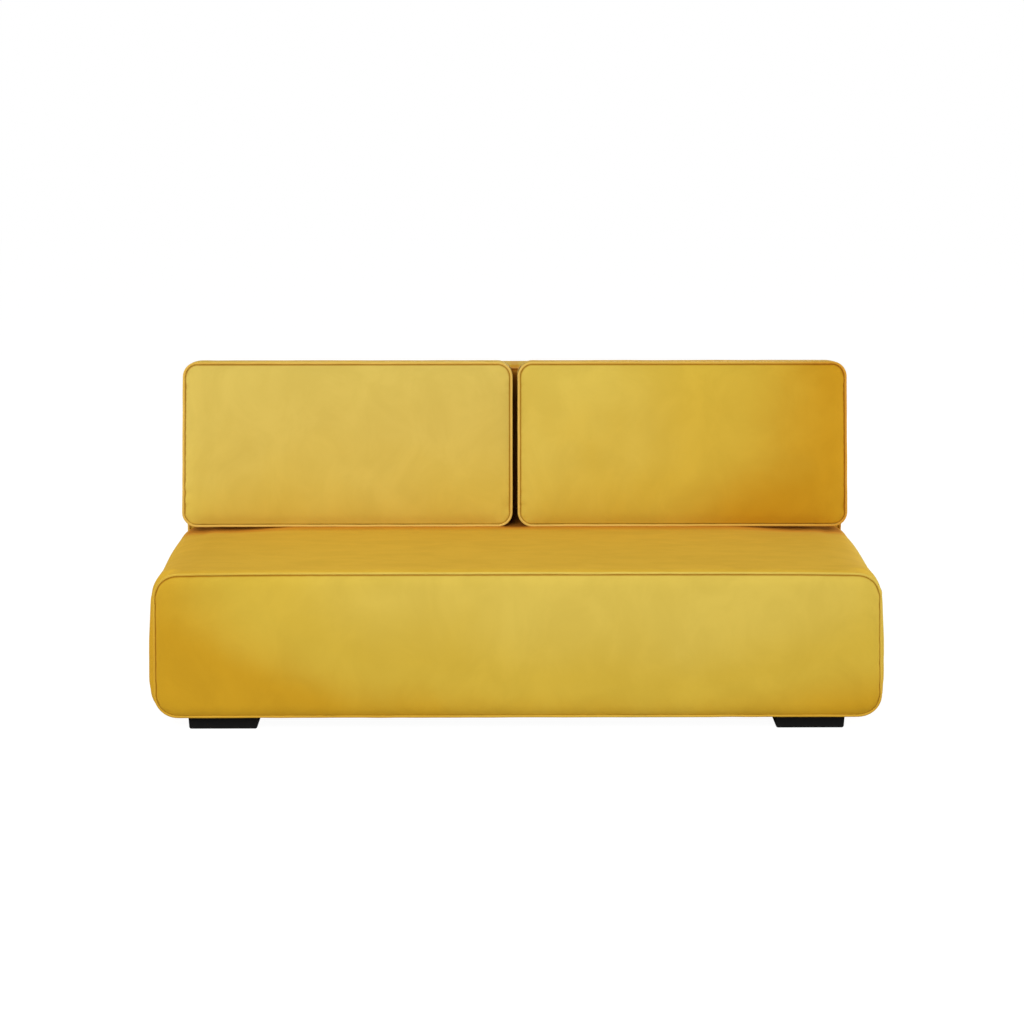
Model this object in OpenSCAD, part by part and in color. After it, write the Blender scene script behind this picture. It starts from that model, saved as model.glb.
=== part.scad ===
// Armless sofa: one deep seat block, an upholstered back and two loose back cushions.
// The front faces -Y, +Z is up, and the origin is on the floor under the middle. Lengths are in millimetres.

/* [Seat block] */
// Width of the seat block at its fullest
seat_w = 1990; // [1700:10:2300]
// Depth of the seat block, from its front seam to the back unit
seat_d = 770; // [720:5:850]
// Thickness of the seat block, from its underside to its top
seat_t = 405; // [385:5:430]
// Radius of the block's four long edges
seat_corner_r = 95; // [75:1:97]
// How far the sides swell past the front seam
seat_side_bulge = 16; // [8:1:20]
// How far the top swells past the front seam
seat_top_bulge = 3; // [2:1:10]
// How far the top falls away towards each end
seat_end_drop = 5; // [1:1:8]
// Swell of the front panel
seat_front_crown = 10; // [4:1:16]
// How far the side fabric turns in under the block
seat_turn_in = 98; // [97:1:103]

/* [Upholstery] */
// Thickness of the velvet with its backing wadding
cover_t = 2.5; // [1.5:0.1:3]
// Thickness of the thin lining cloth
lining_t = 1; // [0.6:0.1:1.5]
// Diameter of the piping in the seams
piping_d = 6; // [5:0.5:8]
// Clearance between a soft piece and its neighbour
fit_gap = 0.3; // [0.2:0.05:0.4]

/* [Seat frame] */
// Thickness of the four boards round the seat frame
board_t = 18; // [15:1:22]
// Thickness of the foam in front of the front board
front_pad_t = 45; // [43:1:60]
// Thickness of the foam outside each end board
side_pad_t = 67; // [58:1:78]
// Thickness of the seat foam
seat_foam_t = 110; // [90:1:125]
// Thickness of the felt that lies on the springs
felt_t = 4; // [3:0.5:6]
// Thickness of the two rails between the front and rear boards
cross_rail_t = 25; // [20:1:35]
// Height of those rails
cross_rail_h = 70; // [50:1:90]
// Side of the square blocks in the frame's corners
corner_block_w = 40; // [30:1:50]
// Length of the block that takes each front foot's screws
foot_block_l = 230; // [220:1:260]
// Depth of that block, front to back
foot_block_d = 95; // [80:1:120]
// Height of that block
foot_block_h = 40; // [36:1:50]

/* [Springs] */
// Number of zigzag springs
spring_count = 10; // [8:1:14]
// Thickness of the spring wire
spring_wire = 4; // [3.5:0.1:4.5]
// Distance between neighbouring bends of a spring
spring_pitch = 40; // [32:1:50]
// Width of a spring
spring_w = 52; // [44:1:60]
// Width of a spring clip
clip_w = 16; // [12:1:20]
// Thickness of a clip's steel
clip_t = 1.2; // [1:0.1:1.5]

/* [Feet] */
// Height of the feet
foot_h = 40; // [36:1:60]
// Width of a foot at its top
foot_w = 190; // [160:1:200]
// Depth of a foot, front to back
foot_d = 90; // [80:1:100]
// How much narrower a foot is at the floor, each side
foot_taper = 2; // [0:0.5:4]
// Radius of a foot's two lower edges
foot_edge_r = 6; // [3:0.5:8]
// Distance from the block's side to a foot
foot_side_inset = 98; // [98:1:105]
// Distance from the front seam to a front foot
foot_front_inset = 25; // [15:1:30]
// Distance from the back's rear face to a rear foot
foot_rear_inset = 22; // [15:1:30]
// Distance between a foot's two screws
foot_screw_spacing = 120; // [90:1:130]
// Diameter of the foot screws
foot_screw_d = 5; // [4:0.5:6]
// Length of the foot screws
foot_screw_l = 45; // [38:1:48]
// Thickness of the foot left over the screw heads
foot_web = 10; // [8:1:14]

/* [Back unit] */
// How far each side of the back stands in from the seat block's side
back_side_inset = 10; // [5:1:60]
// Depth of the back at the seat
back_d = 160; // [150:1:200]
// Height of the back's top above the floor
back_top = 885; // [850:5:960]
// Angle that the back leans at
back_lean = 4; // [2:0.5:6]
// Radius of the back's top corners
back_corner_r = 60; // [45:1:75]
// How far the back's edge swells past its seams
back_bulge = 4; // [2:0.5:6]
// Swell of the back's front panel
back_crown = 8; // [4:1:12]
// Thickness of the foam in front of the webbing
back_foam_t = 45; // [42:1:50]
// Thickness of the foam outside the back's frame
back_edge_t = 25; // [22:1:30]
// Thickness of the back's end boards
back_board_t = 25; // [20:1:30]
// Thickness of the upright rails that carry the webbing
back_rail_t = 22; // [18:1:26]
// Height of those rails
back_rail_h = 60; // [50:1:70]
// Thickness of the hardboard at the rear
rear_board_t = 3; // [2.5:0.1:4]
// Number of webbing straps
strap_count = 10; // [8:2:12]
// Width of a strap
strap_w = 70; // [50:1:80]
// Thickness of a strap
strap_t = 2; // [1.5:0.1:2.5]
// Depth of the bottom rail, which takes the rear feet's screws
bottom_rail_d = 105; // [95:1:115]
// Height of the bottom rail
bottom_rail_h = 45; // [36:1:55]
// Depth of the rail that is bolted to the seat
bolt_rail_d = 44; // [36:1:50]
// Height of that rail
bolt_rail_h = 64; // [50:1:80]
// Distance from that rail's top to the top of the seat frame
bolt_rail_drop = 6; // [2:1:20]
// Distance from the rail's end to its outer bolts
bolt_end_inset = 175; // [100:5:250]
// Diameter of the bolts
bolt_d = 8; // [6:1:10]

/* [Back cushions] */
// How far each outer side of the pair stands in from the seat block's side
cushion_side_inset = 22; // [0:1:60]
// Height of a cushion
cushion_h = 484; // [430:1:520]
// Thickness of a cushion between its two seams
cushion_t = 154; // [130:1:180]
// Gap between the two cushions
cushion_gap = 8; // [5:1:24]
// Radius of a cushion's corners
cushion_corner_r = 44; // [36:1:60]
// How far a cushion's sides swell past its seams
cushion_side_bulge = 4; // [3:1:8]
// How far a cushion's top swells past its seams
cushion_top_bulge = 3; // [2:1:6]
// Swell of a cushion's front
cushion_crown = 22; // [12:1:32]
// Distance from a cushion's side to the end of its zip
zip_inset = 85; // [75:1:150]
// Width of the zip's tape
zip_tape_w = 16; // [14:1:20]
// Length of the zip's slider
zip_slider_l = 14; // [12:1:18]
// Width of the zip's slider
zip_slider_w = 9; // [7:1:11]
// Length of the slider's pull
zip_pull_l = 24; // [18:1:30]
// Width of the slider's pull
zip_pull_w = 6; // [4:1:6]

/* [Hidden] */

LEFT = -1;
RIGHT = 1;
velvet = "#cfa834";
welt = "#e2b94c";
foam = "#efe6c4";
timber = "#c8a878";
steel = "#a8aaac";
lining = "#3a3a3c";
plastic = "#161616";
$fn = 48;

// Flats in each round corner of a soft outline
corner_steps = 5;
// Where an outline's long and short sides have their points, as shares of their straight part
long_points = [0.8, 0.4, -0.4, -0.8];
short_points = [0.4, -0.4];
// How far each ring of a crowned panel lies from its edge, as a share of the way to its middle
crown_steps = [0, 0.07, 0.22, 0.5, 0.94];
// How full a crowned panel is near its edge
crown_power = 2.5;
// How sharply the seat's top falls away at its ends
end_power = 6;
// Depths behind a seam at which a swelling edge reaches its half-way and its full width
bulge_half_w = 15;
bulge_full_w = 40;
bulge_half = 0.6;
// The smallest radius that a shrunken corner keeps
least_r = 1.5;
// Clearance round a fastener in its hole, and round a thread
hole_gap = 0.3;
thread_gap = 0.05;

piping_r = piping_d / 2;
edge_in = piping_r + fit_gap;
last_step = crown_steps[len(crown_steps) - 1];
seat_top = foot_h + seat_t;
front_swell = swell(seat_front_crown, last_step) + cover_t / 2;
depth = front_swell + seat_d + back_d;
seam_y = front_swell - depth / 2;
back_y = seam_y + seat_d;
rear_y = back_y + back_d;
dust_top = foot_h + lining_t;
back_w = seat_w - 2 * back_side_inset;
cushion_w = (seat_w - cushion_gap) / 2 - cushion_side_inset;
zip_l = cushion_w - 2 * zip_inset;

function swell(crown, t) = crown * (1 - pow(1 - t, crown_power));
function reverse(list) = [for (i = [len(list) - 1 : -1 : 0]) list[i]];
function transpose(rings) = [for (j = [0 : len(rings[0]) - 1]) [for (r = rings) r[j]]];

// A soft outline is [half width, low edge, high edge, lower corner radius, upper corner radius, end drop].
function arc(x, v, r, start) = [
    for (i = [0 : corner_steps])
        let (a = start + 90 * i / corner_steps) [x + r * cos(a), v + r * sin(a)]
];
function low_right(s) = arc(s[0] - s[3], s[1] + s[3], s[3], 270);
function low_left(s) = arc(s[3] - s[0], s[1] + s[3], s[3], 180);
function high_right(s) = arc(s[0] - s[4], s[2] - s[5] - s[4], s[4], 0);
function high_left(s) = arc(s[4] - s[0], s[2] - s[5] - s[4], s[4], 90);
function top_points(s) = [for (f = long_points) [f * (s[0] - s[4]), s[2] - s[5] * pow(abs(f), end_power)]];
function bottom_points(s) = [for (f = long_points) [-f * (s[0] - s[3]), s[1]]];
function side_points(s, side) =
    let (low = s[1] + s[3], high = s[2] - s[5] - s[4])
    [for (f = short_points) [side * s[0], (low + high - side * f * (high - low)) / 2]];
function over_top(s) = concat(
    low_right(s), side_points(s, RIGHT), high_right(s), top_points(s), high_left(s), side_points(s, LEFT)
);
function ring(s) = concat(low_left(s), bottom_points(s), over_top(s));
// The same outline open at the bottom, from one turned-in end to the other
function open_ring(s, end_x) = concat([[end_x, s[1]]], over_top(s), low_left(s), [[-end_x, s[1]]]);
// The same outline as an arch that stands on square feet at height low
function arch(s, low) = concat(
    [[s[0], low], [s[0], 0]], high_right(s), high_left(s), [[-s[0], 0], [-s[0], low]]
);
function grow(s, side, low, high, drop = 0) = [
    s[0] + side, s[1] - low, s[2] + high, max(s[3] + side, least_r), max(s[4] + side, least_r), drop
];
function inset(s, d) = grow(s, -d, -d, -d);

// A soft box is [seam outline, side swell, low swell, high swell, end drop, slope of its top to the rear].
// g is the share of the swell at the depth w.
function box_outline(b, g, off, w) =
    grow(b[0], g * b[1] + off, g * b[2] + off, g * b[3] + off - w * b[5], g * b[4]);
function outside(b, g, w = 0) = box_outline(b, g, (1 - g) * cover_t / 2, w);
function inside(b, g, w = 0) = box_outline(b, g, (1 - g) * cover_t / 2 - cover_t, w);
function within(b, g, w = 0) = box_outline(b, g, (1 - g) * cover_t / 2 - cover_t - fit_gap, w);

// Points of an outline that leans back by the angle lean, at depth w behind the origin o
function place(o, lean, points, w) = [
    for (p = points) [o[0] + p[0], o[1] + w + p[1] * sin(lean), o[2] + p[1] * cos(lean)]
];
// One ring of a crowned panel, which turns into an ellipse towards the middle
function crown_ring(s, t) =
    let (mid = (s[1] + s[2]) / 2, size = [s[0], (s[2] - s[1]) / 2])
    [
        for (p = ring(s))
            let (
                q = [p[0] / size[0], (p[1] - mid) / size[1]],
                k = (1 - t) * (1 + t * (1 / norm(q) - 1))
            )
            [k * p[0], mid + k * (p[1] - mid)]
    ];
function crown_rings(o, lean, s, crown, w) = [
    for (t = reverse(crown_steps)) place(o, lean, crown_ring(s, t), w - swell(crown, t))
];
// Depths behind the front seam with the share of the swell at each
function stations_to(end_w) = [
    [edge_in, 0], [bulge_half_w, bulge_half], [bulge_full_w, 1], [end_w, 1]
];
function stations_through(t) = concat(
    [[edge_in, 0], [bulge_half_w, bulge_half], [bulge_full_w, 1]],
    [[t - bulge_full_w, 1], [t - bulge_half_w, bulge_half], [t - edge_in, 0]]
);

// Skins a list of rings, each of an even number of points, and closes the first and the last one.
// Where mirrored, the second half's triangles mirror the first half's, so that a thin panel's faces match.
module skin(rings, mirrored = true) {
    n = len(rings[0]);
    m = len(rings);
    sides = [
        for (i = [0 : m - 2], j = [0 : n - 1])
            let (a = i * n, b = a + n, k = (j + 1) % n)
            each mirrored && i < (m - 1) / 2
                ? [[a + j, b + j, b + k], [a + j, b + k, a + k]]
                : [[a + j, b + j, a + k], [b + j, b + k, a + k]]
    ];
    ends = [
        for (j = [0 : n / 2 - 2])
            let (k = n - 1 - j, e = (m - 1) * n)
            each [[j, j + 1, k], [j + 1, k - 1, k], [e + k, e + j + 1, e + j], [e + k, e + k - 1, e + j + 1]]
    ];
    polyhedron([for (r = rings) each r], concat(sides, ends));
}

// A block that has the given outline in X and Z, from y0 to y1
module slab_y(points, y0, y1) {
    translate([0, y1, 0]) rotate([90, 0, 0]) linear_extrude(y1 - y0) polygon(points);
}

// A block that has the given outline in Y and Z, from x0 to x1
module slab_x(points, x0, x1) {
    translate([x0, 0, 0]) rotate([90, 0, 90]) linear_extrude(x1 - x0) polygon(points);
}

module block(low, high) {
    translate(low) cube(high - low);
}

// Children drawn in the plane that leans back through o, at depth w
module leaning(o, lean, w = 0) {
    translate(o + [0, w, 0]) rotate([-lean, 0, 0]) children();
}

module rod_y(x, z, y0, y1, r) {
    translate([x, y0, z]) rotate([-90, 0, 0]) cylinder(h = y1 - y0, r = r);
}

module rod_z(x, y, z0, z1, r) {
    translate([x, y, z0]) cylinder(h = z1 - z0, r = r);
}

module rod_x(x0, x1, v) {
    translate([x0, 0, v]) rotate([0, 90, 0]) cylinder(h = x1 - x0, r = piping_r);
}

module bend(x, v, r, start) {
    translate([x, 0, v]) rotate([90, 0, 0]) rotate([0, 0, start])
        rotate_extrude(angle = 90) translate([r, 0]) circle(r = piping_r);
}

// Piping along the sides and the top of an outline, from height low
module piping_arch(s, low) {
    for (side = [LEFT, RIGHT]) rod_z(side * s[0], 0, low, s[2] - s[4], piping_r);
    bend(s[0] - s[4], s[2] - s[4], s[4], 0);
    bend(s[4] - s[0], s[2] - s[4], s[4], 90);
    rod_x(s[4] - s[0], s[0] - s[4], s[2]);
}

// Piping all round an outline
module piping_loop(s) {
    piping_arch(s, s[1] + s[3]);
    bend(s[3] - s[0], s[1] + s[3], s[3], 180);
    bend(s[0] - s[3], s[1] + s[3], s[3], 270);
    rod_x(s[3] - s[0], s[0] - s[3], s[1]);
}

// A crowned cover panel, whose edge lies just inside the piping
module crowned_panel(o, lean, s, crown) {
    skin(concat(
        crown_rings(o, lean, s, crown, -cover_t / 2),
        reverse(crown_rings(o, lean, s, crown, cover_t / 2))
    ));
}

// The strip of cover that goes over a soft box and turns in under it as far as end_x
module wrap(o, lean, b, stations, end_x) {
    skin(reverse(transpose(concat(
        [for (s = stations) place(o, lean, open_ring(outside(b, s[1], s[0]), end_x), s[0])],
        [for (s = reverse(stations)) place(o, lean, open_ring(inside(b, s[1], s[0]), end_x), s[0])]
    ))), mirrored = false);
}

// Foam with a crowned front that fills a soft box from its front panel to its flat rear
module crowned_pad(o, lean, b, crown, stations) {
    front = inset(b[0], edge_in);
    outlines = [
        for (s = stations) s[1] == 0 ? grow(front, 0, 0, -s[0] * b[5]) : within(b, s[1], s[0])
    ];
    skin(concat(
        crown_rings(o, lean, front, crown, cover_t / 2 + fit_gap),
        [for (i = [0 : len(stations) - 1]) place(o, lean, ring(outlines[i]), stations[i][0])]
    ));
}

// Seat block

seat_o = [0, seam_y, 0];
seat_seam = [
    seat_w / 2 - seat_side_bulge - piping_r, foot_h + piping_r, seat_top - seat_top_bulge - piping_r,
    seat_corner_r - seat_side_bulge - piping_r, seat_corner_r - seat_side_bulge - piping_r, 0
];
seat_box = [seat_seam, seat_side_bulge + piping_r, piping_r, seat_top_bulge + piping_r, seat_end_drop, 0];
wrap_end_x = seat_w / 2 - seat_turn_in;
frame_hw = seat_w / 2 - side_pad_t;
// How far the block's lower edge has risen by the time it passes under an end board
edge_rise = seat_corner_r - sqrt(pow(seat_corner_r, 2) - pow(max(0, seat_corner_r - side_pad_t), 2));
board_z = foot_h + cover_t + edge_rise + 5 * fit_gap;
front_board_y = seam_y + front_pad_t;
inner_y = front_board_y + board_t;
rear_board_y = back_y - lining_t - board_t;
seat_foam_z = seat_top - cover_t - fit_gap - seat_foam_t;
felt_z = seat_foam_z - felt_t;
clip_gap = 0.1;
clip_h = 2 * (clip_t + clip_gap) + spring_wire;
deck_z = felt_z - clip_h;

module seat_board(y) {
    block([-frame_hw, y, board_z], [frame_hw, y + board_t, deck_z]);
}

module front_board() {
    color(timber) seat_board(front_board_y);
}

module rear_board() {
    color(timber) difference() {
        seat_board(rear_board_y);
        bolt_holes(rear_board_y - 1, back_y, bolt_d / 2 + hole_gap);
    }
}

module end_board(side) {
    x = side * (frame_hw - board_t / 2);
    color(timber) block([x - board_t / 2, inner_y, board_z], [x + board_t / 2, rear_board_y, deck_z]);
}

module cross_rails() {
    color(timber) for (side = [LEFT, RIGHT]) {
        x = side * frame_hw / 3;
        block([x - cross_rail_t / 2, inner_y, board_z],
            [x + cross_rail_t / 2, rear_board_y, board_z + cross_rail_h]);
    }
}

// A square block in each corner, and a long low one behind each front foot
module corner_blocks() {
    reach = frame_hw - board_t;
    block_top = deck_z - corner_block_w / 4;
    color(timber) for (side = [LEFT, RIGHT]) {
        for (y = [inner_y, rear_board_y - corner_block_w]) {
            x = side * (reach - corner_block_w / 2);
            block([x - corner_block_w / 2, y, dust_top + foot_block_h],
                [x + corner_block_w / 2, y + corner_block_w, block_top]);
        }
        x = side * (wrap_end_x - fit_gap - foot_block_l / 2);
        difference() {
            block([x - foot_block_l / 2, inner_y, dust_top],
                [x + foot_block_l / 2, inner_y + foot_block_d, dust_top + foot_block_h]);
            foot_screw_places(side, front_screw_y)
                rod_z(0, 0, 0, screw_tip_z + 1, foot_screw_d / 2 + thread_gap);
        }
    }
}

// A zigzag spring runs along Y, with a bar straight across at each end for its clips.
spring_y0 = front_board_y + board_t / 2;
spring_y1 = rear_board_y + board_t / 2;
spring_bends = round((spring_y1 - spring_y0) / spring_pitch);
spring_step = (spring_y1 - spring_y0) / spring_bends;
spring_reach = (spring_w - spring_wire) / 2;
spring_path = concat([[-spring_reach, spring_y0]], [
    for (i = [0 : spring_bends])
        let (x = (i % 2 == 0 ? 1 : -1) * spring_reach, y = spring_y0 + i * spring_step)
        each i == spring_bends ? [[x, y]] : [[x, y], [x, y + spring_step / (i == spring_bends - 1 ? 1 : 2)]]
]);
function left_of(a, b) = let (d = (b - a) / norm(b - a)) [-d[1], d[0]];
// A point of the path moved sideways by w, mitred between its two stretches
function beside(path, i, w) =
    let (
        before = left_of(path[max(i, 1) - 1], path[max(i, 1)]),
        after = left_of(path[min(i, len(path) - 2)], path[min(i, len(path) - 2) + 1])
    )
    path[i] + w * (before + after) / (1 + before * after);
spring_outline = concat(
    [for (i = [0 : len(spring_path) - 1]) beside(spring_path, i, -spring_wire / 2)],
    [for (i = [len(spring_path) - 1 : -1 : 0]) beside(spring_path, i, spring_wire / 2)]
);
// The springs share the width inside the end boards equally
spring_room = 2 * (frame_hw - board_t) / spring_count;

module at_springs() {
    for (i = [0 : spring_count - 1])
        translate([(i + 0.5 - spring_count / 2) * spring_room, 0, 0]) children();
}

module seat_springs() {
    color(steel) at_springs() translate([0, 0, deck_z + clip_t + clip_gap])
        linear_extrude(spring_wire) polygon(spring_outline);
}

// One clip's bent strip, seen from the side, with the wire's centre at zero
module clip(turn) {
    wall = spring_wire / 2 + hole_gap;
    tail = 2 * spring_wire;
    roof = clip_h - clip_t;
    outline = [
        [-tail, 0], [tail, 0], [tail, clip_t], [-wall, clip_t], [-wall, roof],
        [spring_wire, roof], [spring_wire, clip_h], [-wall - clip_t, clip_h], [-wall - clip_t, clip_t],
        [-tail, clip_t]
    ];
    slab_x([for (p = outline) [turn * p[0], p[1]]], -clip_w / 2, clip_w / 2);
}

module spring_clips() {
    color(steel) at_springs() {
        translate([0, spring_y0, deck_z]) clip(1);
        translate([0, spring_y1, deck_z]) clip(-1);
    }
}

module spring_felt() {
    color("gray") block([-frame_hw, front_board_y, felt_z], [frame_hw, back_y - lining_t, seat_foam_z]);
}

module seat_foam() {
    color(foam) intersection() {
        slab_y(ring(within(seat_box, 1)), front_board_y, back_y - lining_t);
        block([-seat_w, seam_y, seat_foam_z], [seat_w, back_y, seat_top]);
    }
}

module seat_front_pad() {
    color(foam) crowned_pad(seat_o, 0, seat_box, seat_front_crown, stations_to(front_pad_t));
}

module seat_side_pads() {
    color(foam) intersection() {
        slab_y(ring(within(seat_box, 1)), front_board_y, back_y - lining_t);
        for (side = [LEFT, RIGHT]) {
            x = side * (frame_hw + seat_w / 2);
            block([x - seat_w / 2, seam_y, 0], [x + seat_w / 2, back_y, seat_foam_z - fit_gap]);
        }
    }
}

module seat_front_cover() {
    color(velvet) crowned_panel(seat_o, 0, inset(seat_seam, edge_in), seat_front_crown);
}

module seat_wrap() {
    color(velvet) wrap(seat_o, 0, seat_box, stations_to(seat_d - lining_t - fit_gap), wrap_end_x);
}

module seat_front_piping() {
    color(welt) leaning(seat_o, 0) piping_loop(seat_seam);
}

module seat_rear_lining() {
    color(lining) difference() {
        slab_y(ring(outside(seat_box, 1)), back_y - lining_t, back_y);
        bolt_holes(rear_board_y, back_y + 1, bolt_d / 2 + hole_gap);
    }
}

module seat_dust_cover() {
    x = wrap_end_x - fit_gap;
    color(lining) difference() {
        block([-x, seam_y + edge_in, foot_h], [x, back_y - lining_t - fit_gap, dust_top]);
        for (side = [LEFT, RIGHT]) foot_screw_places(side, front_screw_y)
            rod_z(0, 0, 0, dust_top + 1, foot_screw_d / 2 + hole_gap);
    }
}

// Feet

foot_x = seat_w / 2 - foot_side_inset - foot_w / 2;
front_foot_y = seam_y + foot_front_inset + foot_d / 2;
rear_foot_y = rear_y - foot_rear_inset - foot_d / 2;
// The front screws enter the foot block, a quarter of the way in
front_screw_y = inner_y + foot_block_d / 4;
rear_screw_y = rear_foot_y;
screw_head_r = foot_screw_d;
screw_head_h = foot_screw_d / 2;
screw_tip_z = foot_h - foot_web + foot_screw_l - screw_head_h;

module foot_screw_places(side, y) {
    for (i = [-0.5, 0.5]) translate([side * foot_x + i * foot_screw_spacing, y, 0]) children();
}

module foot(side, y, screw_y) {
    low = foot_w / 2 - foot_taper;
    r = foot_edge_r;
    outline = concat(
        [[-foot_w / 2, foot_h]], arc(r - low, r, r, 180), arc(low - r, r, r, 270), [[foot_w / 2, foot_h]]
    );
    color(plastic) difference() {
        translate([side * foot_x, 0, 0]) slab_y(outline, y - foot_d / 2, y + foot_d / 2);
        foot_screw_places(side, screw_y) {
            rod_z(0, 0, -1, foot_h - foot_web, screw_head_r + hole_gap);
            rod_z(0, 0, 0, foot_h + 1, foot_screw_d / 2 + hole_gap);
        }
    }
}

module foot_screw() {
    rod_z(0, 0, foot_h - foot_web - screw_head_h, foot_h - foot_web, screw_head_r);
    rod_z(0, 0, foot_h - foot_web, screw_tip_z, foot_screw_d / 2);
}

module foot_screws() {
    color(steel) for (side = [LEFT, RIGHT], y = [front_screw_y, rear_screw_y])
        foot_screw_places(side, y) foot_screw();
}

// Back unit

back_o = [0, back_y, seat_top];
back_v = (back_top - seat_top) / cos(back_lean);
back_seam_r = back_corner_r - back_bulge - piping_r;
back_seam = [
    back_w / 2 - back_bulge - piping_r, fit_gap, back_v - back_bulge - piping_r, least_r, back_seam_r, 0
];
back_box = [back_seam, back_bulge + piping_r, 0, back_bulge + piping_r, 0, 0];
back_low = foot_h - seat_top;
back_frame_hw = back_w / 2 - back_edge_t;
back_frame_top = back_top - cover_t - fit_gap - back_edge_t;
rear_cover_y = rear_y - piping_r;
rear_board_face = rear_cover_y - cover_t / 2 - fit_gap;
back_frame_rear = rear_board_face - rear_board_t;
rail_x = back_frame_hw - back_board_t;
// Depths behind the leaning face, square to it
strap_w0 = back_foam_t + fit_gap;
rail_w0 = strap_w0 + strap_t;
rail_top_v = (back_frame_top - seat_top) / cos(back_lean);
foam_low_v = cover_t + 2 * fit_gap;

function front_y(z) = back_y + max(0, z - seat_top) * tan(back_lean);
// Side view of the back's frame up to the height top: upright behind the seat, leaning above it
function back_profile(top) = [
    [back_y, dust_top], [back_y, seat_top], [front_y(seat_top) + rail_w0, seat_top],
    [front_y(top) + rail_w0, top], [back_frame_rear, top], [back_frame_rear, dust_top]
];

module back_board(side) {
    x = side * (back_frame_hw - back_board_t / 2);
    color(timber) slab_x(back_profile(back_frame_top), x - back_board_t / 2, x + back_board_t / 2);
}

module back_bottom_rail() {
    color(timber) difference() {
        block([-rail_x, back_frame_rear - bottom_rail_d, dust_top],
            [rail_x, back_frame_rear, dust_top + bottom_rail_h]);
        for (side = [LEFT, RIGHT]) foot_screw_places(side, rear_screw_y)
            rod_z(0, 0, 0, screw_tip_z + 1, foot_screw_d / 2 + thread_gap);
    }
}

bolt_rail_top = deck_z - bolt_rail_drop;
bolt_z = bolt_rail_top - bolt_rail_h / 2;
bolt_head_r = bolt_d * 0.8;
bolt_head_h = bolt_d * 0.6;
nut_barrel_r = bolt_d / 2 + 1.5;
nut_barrel_l = bolt_d * 1.5;
nut_flange_r = bolt_d * 1.4;
nut_flange_t = 1.5;

// Four bolts, spaced evenly between the outer two
module at_bolts() {
    for (i = [-1, -1 / 3, 1 / 3, 1]) translate([i * (rail_x - bolt_end_inset), 0, 0]) children();
}

module bolt_holes(y0, y1, r) {
    at_bolts() rod_y(0, bolt_z, y0, y1, r);
}

module back_bolt_rail() {
    color(timber) difference() {
        block([-rail_x, back_y, bolt_rail_top - bolt_rail_h], [rail_x, back_y + bolt_rail_d, bolt_rail_top]);
        bolt_holes(back_y - 1, back_y + bolt_rail_d + 1, nut_barrel_r + thread_gap);
    }
}

module back_bolts() {
    color(steel) at_bolts() {
        rod_y(0, bolt_z, rear_board_y - bolt_head_h, rear_board_y, bolt_head_r);
        rod_y(0, bolt_z, rear_board_y, back_y + bolt_rail_d + bolt_d, bolt_d / 2);
    }
}

module tee_nuts() {
    rear = back_y + bolt_rail_d;
    color(steel) at_bolts() difference() {
        union() {
            rod_y(0, bolt_z, rear, rear + nut_flange_t, nut_flange_r);
            rod_y(0, bolt_z, rear - nut_barrel_l, rear, nut_barrel_r);
        }
        rod_y(0, bolt_z, rear - nut_barrel_l - 1, rear + nut_flange_t + 1, bolt_d / 2 + thread_gap);
    }
}

module back_webbing_rails() {
    color(timber) leaning(back_o, back_lean) for (v = [foam_low_v, rail_top_v - back_rail_h])
        block([-rail_x, rail_w0, v], [rail_x, rail_w0 + back_rail_t, v + back_rail_h]);
}

module back_mid_post() {
    color(timber) leaning(back_o, back_lean) block(
        [-back_rail_h / 2, rail_w0, foam_low_v + back_rail_h],
        [back_rail_h / 2, rail_w0 + back_rail_t, rail_top_v - back_rail_h]
    );
}

module back_webbing() {
    room = 2 * rail_x / strap_count;
    color("#6b6157") leaning(back_o, back_lean) for (i = [0 : strap_count - 1]) {
        x = (i + 0.5 - strap_count / 2) * room;
        block([x - strap_w / 2, strap_w0, foam_low_v], [x + strap_w / 2, rail_w0, rail_top_v]);
    }
}

module back_foam() {
    color(foam) crowned_pad(back_o, back_lean, back_box, back_crown, stations_to(back_foam_t));
}

// The foam round the frame's edge ends where the wrap draws in to its seams.
module back_edge_foam() {
    room = within(back_box, bulge_half);
    points = [for (p = arch(room, back_low)) [p[0], seat_top + p[1] * cos(back_lean)]];
    intersection() {
        slab_y(points, back_y + bulge_half_w, rear_cover_y - bulge_half_w);
        slab_x(back_profile(seat_top + room[2] * cos(back_lean)), -back_w, back_w);
        translate([0, 0, lining_t]) children();
    }
}

module back_side_pads() {
    color(foam) back_edge_foam() for (side = [LEFT, RIGHT]) {
        x = side * (back_frame_hw + back_w / 2);
        top = back_frame_top - lining_t - fit_gap;
        block([x - back_w / 2, back_y, foot_h], [x + back_w / 2, rear_y, top]);
    }
}

module back_top_pad() {
    color(foam) back_edge_foam()
        block([-back_w, back_y, back_frame_top - lining_t], [back_w, rear_y, back_top]);
}

module back_rear_board() {
    color("#8a6b48")
        block([-back_frame_hw, back_frame_rear, dust_top], [back_frame_hw, rear_board_face, back_frame_top]);
}

module back_front_cover() {
    color(velvet) crowned_panel(back_o, back_lean, grow(back_seam, -edge_in, 0, -edge_in), back_crown);
}

// The front of the wrap follows the leaning seam and its rear follows the upright one.
function back_ring(s, behind, w) = [
    for (p = arch(s, back_low)) [
        p[0],
        behind ? rear_cover_y - w : back_y + max(0, p[1]) * sin(back_lean) + w,
        seat_top + p[1] * (p[1] > 0 ? cos(back_lean) : 1)
    ]
];

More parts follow.
